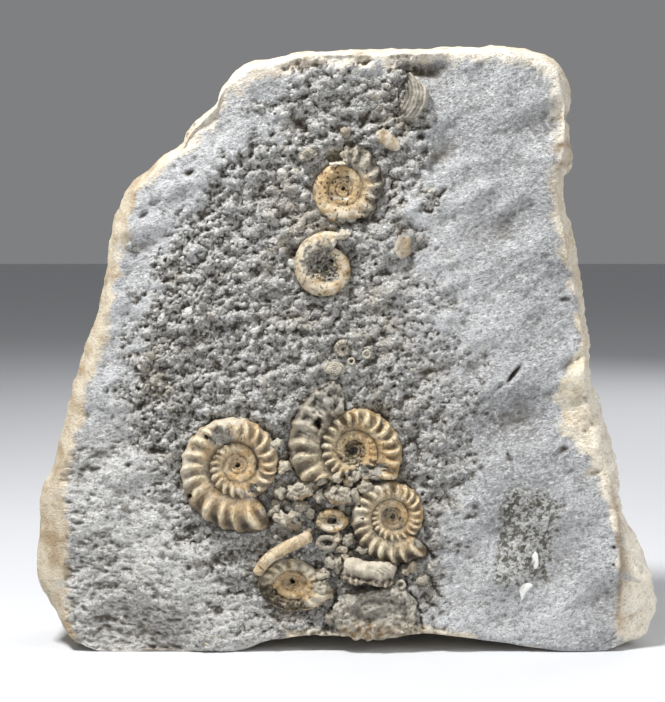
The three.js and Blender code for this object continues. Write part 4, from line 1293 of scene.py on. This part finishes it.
def broken_lumps():
    """The two lumps of broken shell between the big coils, knobbly and hollowed."""
    pieces = []
    for name, node, at, half, lean, seed in (
        ("left_broken_lump", "shell_lump_left", (-11.2, 0.5, 39.4), (2.9, 2.3, 2.0), 10, 221),
        ("right_broken_lump", "shell_lump_right", (-1.7, 0.6, 38.5), (3.3, 2.5, 2.2), -12, 227),
    ):
        piece, unit, body = blob(name, at, half, lean, seed, ((2.6, 0.22), (1.2, 0.14), (0.6, 0.07)), 0.85)
        hollow = np.exp(-(((body[:, 0] + 0.4) / 0.8) ** 2 + ((body[:, 2] - 0.5) / 0.7) ** 2))
        low = smooth_step(-unit[:, 2], 0.1, 0.8)
        # Painted shade in each lump's hollow.
        pieces.append((finish_blob(piece, 0.9 * hollow * front_of(unit), warm=0.3 + 0.5 * low,
                                   pale=0.6 * smooth_step(unit[:, 2], 0.1, 0.7), dark=0.8 * hollow,
                                   bare=0.35 * (1 - low)), node))
    return pieces


def edge_on_ammonite():
    """A short ammonite seen on its edge: a smooth cream back above and knobbly ribs below."""
    piece, unit, body = blob("edge_on_ammonite", (5.6, 0.0, 19.7), (6.3, 3.0, 3.1), -6, 231,
                             ((5.5, 0.4), (2.6, 0.13), (0.9, 0.07)), 0.55, 6)
    low = smooth_step(-unit[:, 2], -0.15, 0.3)
    rib = 0.5 + 0.5 * np.cos(body[:, 0] * TURN / 1.45 + 0.5)
    step = bell(unit[:, 2] + 0.12, 0.12)
    rough_half = low * (noises(body, (232, 1.7, 0.3), (233, 0.8, 0.16)))
    move = -0.1 * low * rib + 0.35 * step + 0.7 * smooth_step(-unit[:, 2], 0.5, 1.0) + rough_half
    # Painted shade between the lower ribs, along the sunken line across the middle and on the underside; the
    # blotches are the shell's own colour.
    dark = 0.4 * low * (1 - rib) + 0.35 * smooth_step(flank_noise(body, 234, 1.6), 0.4, 1.4) * low
    dark = dark + 0.6 * step + 0.6 * smooth_step(-unit[:, 2], 0.55, 0.9)
    return finish_blob(piece, move * front_of(unit), rib=0.5 + 0.5 * low * (rib - 0.4), pale=0.78 * (1 - low),
                       warm=0.2 + 0.45 * low, bare=0.12 + 0.2 * low, dark=dark)


def worn_ammonite():
    """A large worn coil at the bottom edge, grey in the middle and brown and cream below."""
    piece, unit, body = blob("worn_ammonite", (7.2, 0.6, 9.8), (10.4, 3.1, 6.1), 6, 235,
                             ((5.0, 0.3), (2.0, 0.2), (0.9, 0.1)), 0.8, 6)
    turn = np.arctan2(body[:, 2] / 5.6, (body[:, 0] + 0.5) / 10.4)
    reach = np.hypot((body[:, 0] + 0.5) / 10.4, body[:, 2] / 5.6)
    spiral = np.cos(reach * TURN * 1.35 + turn * 0.9)
    ribs = np.cos(turn * 19)
    outer = smooth_step(reach, 0.45, 0.7) * smooth_step(-body[:, 2], -2.5, 1.0)
    middle = bell(reach, 0.42)
    move = (0.42 * spiral + 0.9 * middle - 0.2 * ribs * outer) * front_of(unit)
    low = smooth_step(-unit[:, 2] + 0.12 * flank_noise(body, 251, 2.4), 0.1, 0.6)
    blotch = 0.45 * smooth_step(flank_noise(body, 252, 1.9), 0.5, 1.5)
    cream = smooth_step(flank_noise(body, 253, 2.6), 0.2, 1.2)
    move += 0.16 * flank_noise(body, 254, 1.5) * front_of(unit)
    warm = 0.15 + 0.75 * low * smooth_step(-unit[:, 0], -0.9, 0.6)
    dark = 0.3 * middle + 0.3 * smooth_step(spiral, 0.4, 1.0) * (1 - low) + blotch
    return finish_blob(piece, move, rib=0.5 + 0.35 * ribs * outer, warm=warm, dark=dark,
                       pale=0.6 * cream * np.maximum(low, 0.4), bare=0.85 * (1 - low))


# Broken bits between the shells: x, z, half length, half height, lean, proud depth, warm, pale, bare.
SHELL_RUBBLE = [
    (-15.1, 44.9, 1.3, 1.15, 0, -0.2, 0.3, 0.5, 0.1), (-15.6, 32.9, 2.0, 1.2, -30, 0.0, 0.2, 0.7, 0.1),
    (-17.0, 35.0, 1.5, 0.9, 40, 0.2, 0.2, 0.4, 0.5), (-13.2, 33.6, 1.3, 0.9, 10, 0.3, 0.3, 0.4, 0.3),
    (-10.9, 35.6, 1.9, 1.2, 15, 0.1, 0.1, 0.1, 0.8), (-8.3, 34.2, 1.5, 1.0, -15, 0.3, 0.2, 0.1, 0.7),
    (-6.7, 38.2, 1.4, 1.3, 40, 0.0, 0.2, 0.2, 0.6), (-8.9, 41.6, 1.6, 1.0, 0, 0.1, 0.1, 0.3, 0.7),
    (-5.8, 42.2, 1.6, 1.0, 10, 0.0, 0.1, 0.5, 0.3), (-2.2, 42.6, 1.7, 1.1, -12, -0.1, 0.1, 0.6, 0.3),
    (1.0, 41.8, 1.3, 1.0, 0, 0.0, 0.2, 0.5, 0.3), (4.6, 40.8, 1.4, 1.15, 20, -0.2, 0.3, 0.4, 0.1),
    (2.2, 43.3, 1.3, 0.9, -30, 0.1, 0.1, 0.4, 0.5), (2.1, 38.4, 1.0, 1.4, 10, 0.0, 0.2, 0.2, 0.6),
    (6.9, 43.4, 1.5, 0.9, -10, 0.2, 0.1, 0.3, 0.6), (-1.0, 25.8, 1.2, 0.9, 0, 0.1, 0.2, 0.4, 0.3),
    (-2.2, 28.0, 1.3, 1.1, 60, 0.2, 0.5, 0.2, 0.2), (0.8, 27.8, 1.0, 1.5, -15, 0.3, 0.1, 0.1, 0.8),
    (-3.6, 22.6, 0.8, 2.0, 5, 0.3, 0.1, 0.2, 0.7), (-1.9, 21.8, 0.7, 1.9, -4, 0.3, 0.1, 0.2, 0.7),
    (-6.3, 16.1, 2.1, 1.6, 20, 0.1, 0.1, 0.5, 0.3), (-5.6, 19.4, 1.4, 1.1, 0, 0.1, 0.2, 0.5, 0.2),
    (-5.0, 13.6, 1.7, 0.8, 14, 0.3, 0.1, 0.6, 0.3), (15.4, 20.4, 2.0, 1.2, 25, 0.5, 0.5, 0.1, 0.3),
    (14.1, 13.8, 1.3, 0.7, -30, 0.2, 0.1, 0.6, 0.2), (0.1, 23.0, 1.1, 1.0, 0, -0.1, 0.4, 0.3, 0.1),
    (0.2, 125.4, 1.2, 1.2, 20, 1.5, 0.4, 0.2, 0.2), (-17.1, 50.6, 1.7, 1.1, 30, 0.1, 0.0, 0.2, 0.8),
    (-9.0, 120.2, 1.7, 1.2, 30, 1.0, 0.0, 0.2, 0.9), (9.5, 25.4, 2.0, 1.1, -35, 0.3, 0.2, 0.3, 0.5),
    (4.4, 25.6, 1.4, 1.1, 10, 0.4, 0.1, 0.2, 0.8), (18.4, 17.4, 1.4, 0.9, 30, 0.5, 0.1, 0.3, 0.6),
    (-3.4, 9.0, 1.6, 1.1, 50, 0.6, 0.1, 0.2, 0.8), (-2.3, 118.0, 2.0, 0.26, 3, 1.2, 0.0, 1.0, 0.0),
    (-0.9, 101.2, 2.1, 0.8, 12, -0.1, 0.0, 0.9, 0.2), (-0.6, 120.0, 0.25, 1.4, 8, 1.4, 0.0, 1.0, 0.0),
    (-15.9, 38.9, 1.2, 1.7, 15, 0.5, 0.1, 0.2, 0.8),
]
# Places tried for the smaller bits between them, and the most bits that are kept.
RUBBLE_TRIES = 400
RUBBLE_MOST = 130
# Small rings, of stem joints and worm tubes: x, z, radius along, radius across, thickness, depth, dark.
SMALL_RINGS = [
    (13.2, 16.7, 1.0, 0.9, 0.42, 0.0, 0.1), (5.0, 72.6, 0.85, 0.85, 0.3, 0.3, 0.1),
    (1.3, 70.9, 0.7, 0.7, 0.26, 0.3, 0.0), (-4.6, 26.9, 2.1, 1.35, 0.6, 0.3, 0.45),
    (-32.4, 2.9, 1.9, 1.3, 0.5, 0.2, 0.1), (-36.0, 127.5, 0.5, 0.45, 0.24, 4.4, 0.0),
    (-37.8, 125.3, 0.42, 0.4, 0.24, 4.4, 0.0),
]
# White chips in the worn patch, as corner runs of [x, z].
WHITE_CHIPS = [
    [(40.2, 15.9), (42.6, 17.0), (45.2, 16.7), (43.6, 14.8), (42.6, 12.9), (42.0, 15.0)],
    [(44.8, 24.0), (46.3, 24.6), (46.6, 21.4), (45.6, 20.6)],
]


def join_bodies(name, bodies, values):
    """One piece from several closed bodies, each with its own paint values."""
    points, faces, columns = [], [], {key: [] for key in ("warm", "pale", "bare", "dark")}
    total = 0
    for (places, body_faces), paint in zip(bodies, values):
        points.append(places)
        faces += [tuple(int(k) + total for k in face) for face in body_faces]
        total += len(places)
        for key, column in columns.items():
            column.append(np.full(len(places), float(paint.get(key, 0.0))))
    piece = new_mesh_object(name, np.concatenate(points), faces)
    finish_mesh(piece)
    shell_values(piece, **{key: np.concatenate(column) for key, column in columns.items()})
    return piece


def take_body(piece):
    """Takes a piece apart again into its places and faces."""
    body = vertex_places(piece.data), [tuple(face.vertices) for face in piece.data.polygons]
    bpy.data.objects.remove(piece)
    return body


def shell_rubble(fields):
    bodies, paints = [], []
    for k, (x, z, long_half, high_half, lean, depth, warm, pale, bare) in enumerate(SHELL_RUBBLE):
        half = (long_half, 0.5 * (long_half + high_half), high_half)
        bumps = ((2.6, 0.3), (1.2, 0.18), (0.6, 0.09))
        piece, _, _ = blob("bit", (x, depth + 0.75, z), half, lean, 301 + k, bumps, 0.9, 4)
        bodies.append(take_body(piece))
        dark = 0.05 + 0.2 * (k % 3) / 2
        paints.append({"warm": warm, "pale": 0.8 * pale, "bare": 0.65 * bare, "dark": dark})
    chance = np.random.default_rng(61)
    outline = outline_distance(RUBBLE_OUTLINE)
    shells = np.min([coil_reach(coil) for coil in COILS.values()], axis=0)
    for k in range(RUBBLE_TRIES):
        x, z = chance.uniform(-19, 22), chance.uniform(5, 56)
        long_half, lean, pick, tint, dim = chance.uniform(0.35, 1.15), *chance.uniform(0, 1, 4)
        taken = sample(outline, x, z) > 0 or sample(shells, x, z) < 0.5 or (x > -3 and z < 23)
        if taken or len(bodies) > RUBBLE_MOST:
            continue
        half = (long_half, 0.8 * long_half, (0.6 + 0.3 * pick) * long_half)
        depth = sample(fields["depth"], x, z) + 0.25 * long_half
        bumps = ((1.6, 0.22), (0.7, 0.08))
        piece, _, _ = blob("bit", (x, depth, z), half, 180 * lean, 401 + k, bumps, 0.85, 3)
        bodies.append(take_body(piece))
        paints.append({"warm": 0.7 * tint, "pale": 0.5 * (pick > 0.7), "bare": 0.15 + 0.6 * dim,
                       "dark": 0.4 * dim * pick})
    return join_bodies("broken_shell_rubble", bodies, paints)


def small_rings():
    around, across = 48, 16
    u, v = np.meshgrid(np.arange(around) * TURN / around, np.arange(across) * TURN / across, indexing="ij")
    index = np.arange(around * across).reshape(around, across)
    far = np.roll(index, -1, axis=0)
    quads = np.stack([index, np.roll(index, -1, axis=1), np.roll(far, -1, axis=1), far], axis=-1)
    quads = quads.reshape(-1, 4)
    bodies, paints = [], []
    for x, z, long_radius, short_radius, thickness, depth, dark in SMALL_RINGS:
        tube = thickness * (1 + 0.12 * np.cos(5 * u + x) + 0.08 * np.cos(11 * u + z))
        places = np.stack([
            x + (long_radius + tube * np.cos(v)) * np.cos(u),
            FACE_Y + depth + tube * np.sin(v) * 1.1,
            z + (short_radius + tube * np.cos(v)) * np.sin(u),
        ], axis=-1).reshape(-1, 3)
        bodies.append((places, quads))
        paints.append({"warm": 0.15, "pale": 0.5, "bare": 0.2, "dark": dark})
    return join_bodies("stem_joint_rings", bodies, paints)


def white_chips(fields):
    bodies, paints = [], []
    for corners in WHITE_CHIPS:
        run = catmull(corners + corners[:1], 40)[:-1]
        middle = run.mean(axis=0)
        rings = []
        for shrink, lift in ((1.0, 0.35), (1.0, -0.05), (0.85, -0.16), (0.4, -0.2)):
            flat = middle + (run - middle) * shrink
            depth = sample(fields["depth"], flat[:, 0], flat[:, 1]).mean()
            level = np.full(len(flat), FACE_Y + depth + lift)
            rings.append(np.stack([flat[:, 0], level, flat[:, 1]], axis=1))
        count = len(run)
        ends = [rings[0].mean(axis=0), rings[-1].mean(axis=0)]
        faces = []
        last = (len(rings) - 1) * count
        for first in range(0, last, count):
            for k in range(count):
                n = (k + 1) % count
                faces.append((first + k, first + n, first + count + n, first + count + k))
        for k in range(count):
            n = (k + 1) % count
            faces.append((n, k, len(rings) * count))
            faces.append((last + k, last + n, len(rings) * count + 1))
        bodies.append((np.concatenate(rings + [np.array(ends)]), faces))
        paints.append({"pale": 1.0})
    return join_bodies("white_shell_chips", bodies, paints)


TUBE_SIZES = ["Radius", "Ring Height", "Rings", "Ringed Part", "Steps", "Sides"]
TUBE_PATH = [(-21.6, 19.2), (-20.9, 20.4), (-19.6, 22.2), (-18.2, 23.6), (-16.4, 24.8), (-14.2, 26.1),
             (-12.0, 27.1), (-9.9, 28.1), (-8.2, 28.9)]


def tube_tree(material):
    """A round whorl along the base curve, with rings near its lower end and rounded ends."""
    tree, steps, size, outlet = new_geometry_tree("Ringed whorl on edge", TUBE_SIZES)
    inlet = steps.nodes["Group Input"].outputs[0]
    line = steps.out("GeometryNodeMeshToCurve", {"Mesh": inlet})
    line = steps.out("GeometryNodeResampleCurve", {"Curve": line, "Count": size["Steps"]})
    along = steps.add("GeometryNodeSplineParameter").outputs["Factor"]
    wave = steps.sum("COSINE", steps.times(along, size["Rings"], TURN))
    ringed = steps.minus(1.0, steps.sum("MINIMUM", steps.sum("DIVIDE", along, size["Ringed Part"]), 1.0))
    swell = steps.times(wave, ringed, size["Ring Height"])
    near_end = steps.sum("MINIMUM", along, steps.minus(1.0, along))
    closing = steps.sum("MINIMUM", steps.sum("DIVIDE", near_end, 0.06), 1.0)
    round_end = steps.sum("SQRT", steps.times(closing, steps.minus(2.0, closing)))
    slim = steps.ease(along, 0.0, 0.5, 0.86, 1.0)
    radius = steps.times(steps.plus(size["Radius"], swell), round_end, slim)
    ring = steps.out("GeometryNodeCurvePrimitiveCircle", {"Resolution": size["Sides"], "Radius": 1.0})
    sized = steps.out("GeometryNodeSetCurveRadius", {"Curve": line, "Radius": radius})
    swept = steps.add("GeometryNodeCurveToMesh", {"Curve": sized, "Profile Curve": ring})
    if "Scale" in swept.inputs:
        steps.join(radius, swept.inputs["Scale"])
    shape = steps.out("GeometryNodeMergeByDistance", {"Geometry": swept.outputs[0], "Distance": WELD_GAP})
    close_tree(steps, shape, outlet, material)
    return tree


def edge_whorl(material):
    path = bpy.data.meshes.new("edge_whorl_path")
    run = catmull(TUBE_PATH, 60)
    lift = -0.25 - 0.75 * np.sin(np.linspace(0.25, 2.6, len(run)))
    points = [(x * MM, (FACE_Y + y) * MM, z * MM) for (x, z), y in zip(run, lift)]
    path.from_pydata(points, [(k, k + 1) for k in range(len(points) - 1)], [])
    base = bpy.data.objects.new("edge_whorl_path", path)
    sizes = {"Radius": 1.5 * MM, "Ring Height": 0.1 * MM, "Rings": 30, "Ringed Part": 0.28, "Steps": 260,
             "Sides": 40}
    piece = grow("edge_whorl", tube_tree(material), sizes, base)
    places = vertex_places(piece.data)
    cut = bell(spot_distance(places, -20.4, 21.1), 1.2)
    groove = np.exp(-(((places[:, 0] + 20.4) * 0.62 + (places[:, 2] - 21.1) * 0.78) / 0.14) ** 2) * cut
    end_pit = bell(spot_distance(places, -8.0, 28.7), 0.6)
    places[:, 1] += 0.5 * groove + 0.35 * end_pit + 0.05 * flank_noise(places, 241, 2.0)
    set_places(piece.data, places)
    finish_mesh(piece)
    # Painted shade in the cut groove, in the end pit and on the side that meets the rock; darker towards the
    # lower end and in blotches.
    dark = 0.85 * groove + 0.5 * end_pit + 0.45 * smooth_step(21.0 - places[:, 2], 0.0, 1.6)
    dark += 0.3 * smooth_step(places[:, 1], FACE_Y + 0.2, FACE_Y + 0.9)
    dark += 0.3 * smooth_step(flank_noise(places, 245, 2.2), 0.3, 1.4)
    # The pale towards the upper end is a painted highlight on its rounded tip.
    shell_values(piece, warm=0.74 + 0.14 * flank_noise(places, 243, 4), dark=0.8 * dark,
                 pale=0.06 + 0.3 * smooth_step(places[:, 2], 26.5, 29), rib=np.full(len(places), 0.6),
                 bare=0.1 + 0.08 * flank_noise(places, 246, 3))
    return piece


# The share of a grain's size that it is bedded below its centre.
GRAIN_SINK = 0.26
GRAIN_SIZES = ["Density", "Smallest", "Largest", "Seed", "Detail", "Sink"]


def grain_tree(material):
    """Grains scattered where the rock is rough, each of its own size, stretch and turn."""
    tree, steps, size, outlet = new_geometry_tree("Marl grains", GRAIN_SIZES)
    inlet = steps.nodes["Group Input"].outputs[0]
    mask = steps.out("GeometryNodeInputNamedAttribute", {"Name": "grainy"}, data_type="FLOAT")
    density = steps.times(mask, size["Density"])
    spread = steps.add("GeometryNodeDistributePointsOnFaces",
                       {"Mesh": inlet, "Density": density, "Seed": size["Seed"]})

    def chance(kind, first, low, high, shift):
        """A random value between two numbers, that are set on the node's inlets from the first one on."""
        node = steps.add("FunctionNodeRandomValue", data_type=kind)
        node.inputs[first].default_value = low
        node.inputs[first + 1].default_value = high
        steps.join(steps.plus(size["Seed"], shift), node.inputs["Seed"])
        return node.outputs

    stretch = chance("FLOAT_VECTOR", 0, (0.7,) * 3, (1.35,) * 3, 1)[0]
    turned = chance("FLOAT_VECTOR", 0, (0,) * 3, (TURN,) * 3, 2)[0]
    amount = steps.sum("POWER", chance("FLOAT", 2, 0, 1, 3)[1], 2.2)
    range_of_sizes = steps.minus(size["Largest"], size["Smallest"])
    grain_size = steps.plus(size["Smallest"], steps.times(amount, range_of_sizes))
    ball = steps.out("GeometryNodeMeshIcoSphere", {"Radius": 0.5, "Subdivisions": size["Detail"]})
    lumpy = steps.out("ShaderNodeTexNoise", {"Scale": 1.9, "Detail": 1.0})
    push = steps.scaled(steps.out("GeometryNodeInputNormal"), steps.times(steps.minus(lumpy, 0.5), 0.7))
    ball = steps.out("GeometryNodeSetPosition", {"Geometry": ball, "Offset": push})
    scale = steps.scaled(stretch, grain_size)
    bed = steps.scaled(spread.outputs["Normal"], steps.times(grain_size, size["Sink"], -1.0))
    bedded = steps.out("GeometryNodeSetPosition", {"Geometry": spread.outputs["Points"], "Offset": bed})
    inputs = {"Points": bedded, "Instance": ball, "Rotation": turned, "Scale": scale}
    placed = steps.out("GeometryNodeInstanceOnPoints", inputs)
    kept = steps.store(placed, "tone", chance("FLOAT", 2, -0.9, 0.9, 4)[1], "INSTANCE")
    close_tree(steps, kept, outlet, material)
    return tree


def grains(slab, fields, material):
    tree = grain_tree(material)
    pieces = []
    for name, density, smallest, largest, seed, detail in (
        ("marl_crumbs", 0.2, 0.7, 2.2, 5, 2),
        ("marl_grit_first", 1.1, 0.3, 1.0, 15, 1),
        ("marl_grit_second", 1.1, 0.3, 1.0, 25, 1),
    ):
        sizes = {"Density": density * 1e6, "Smallest": smallest * MM, "Largest": largest * MM, "Seed": seed,
                 "Detail": detail, "Sink": GRAIN_SINK}
        piece = grow(name, tree, sizes, slab)
        places = vertex_places(piece.data)
        for value in ("cavity", "fine_cavity", "rind", "moat", "worn", "lower_left"):
            set_values(piece.data, value, np.zeros(len(places)))
        # The grains take the painted shade of the facets and, weaker, of the broad hollows beneath them.
        set_values(piece.data, "facet", sample(fields["facet"], places[:, 0], places[:, 2]))
        set_values(piece.data, "rough", np.full(len(places), 0.6))
        set_values(piece.data, "hollow", 0.7 * sample(fields["hollow"], places[:, 0], places[:, 2]))
        finish_mesh(piece)
        pieces.append(piece)
    return pieces


def main():
    studio()
    fields = face_fields()
    marl = marl_material()
    honey = shell_material("honey_shell", (188, 154, 102), (190, 174, 142), (238, 226, 196), (84, 66, 44))
    pale = shell_material("pale_shell_finish", (168, 138, 98), (172, 162, 142), (214, 208, 192), (92, 82, 66))
    slab = build_slab(fields)
    for piece in grains(slab, fields, marl):
        keep(piece, marl, "marl")
    keep(slab, marl, "marl", "matrix_slab")
    tree = whorl_tree(honey)
    for name, coil in COILS.items():
        piece = grow_coil(name, tree, coil)
        weather_coil(piece, name, coil)
        if name == "ammonite_lower":
            break_lower_coil(piece, coil)
        finish_mesh(piece)
        keep(piece, honey, "honey_calcite", name)
    keep(edge_whorl(honey), honey, "honey_calcite", "whorl_on_edge")
    keep(bivalve(), pale, "pale_shell", "bivalve_shell")
    keep(flat_shell(), pale, "pale_shell", "shell_flat")
    keep(shell_flake(), pale, "pale_shell", "shell_flake")
    keep(oval_shell(), pale, "pale_shell", "shell_oval")
    for piece, node in broken_lumps():
        keep(piece, pale, "pale_shell", node)
    keep(edge_on_ammonite(), pale, "pale_shell", "ammonite_edge_on")
    keep(worn_ammonite(), pale, "pale_shell", "ammonite_worn")
    keep(shell_rubble(fields), pale, "pale_shell")
    keep(small_rings(), pale, "pale_shell")
    keep(white_chips(fields), pale, "pale_shell")


main()
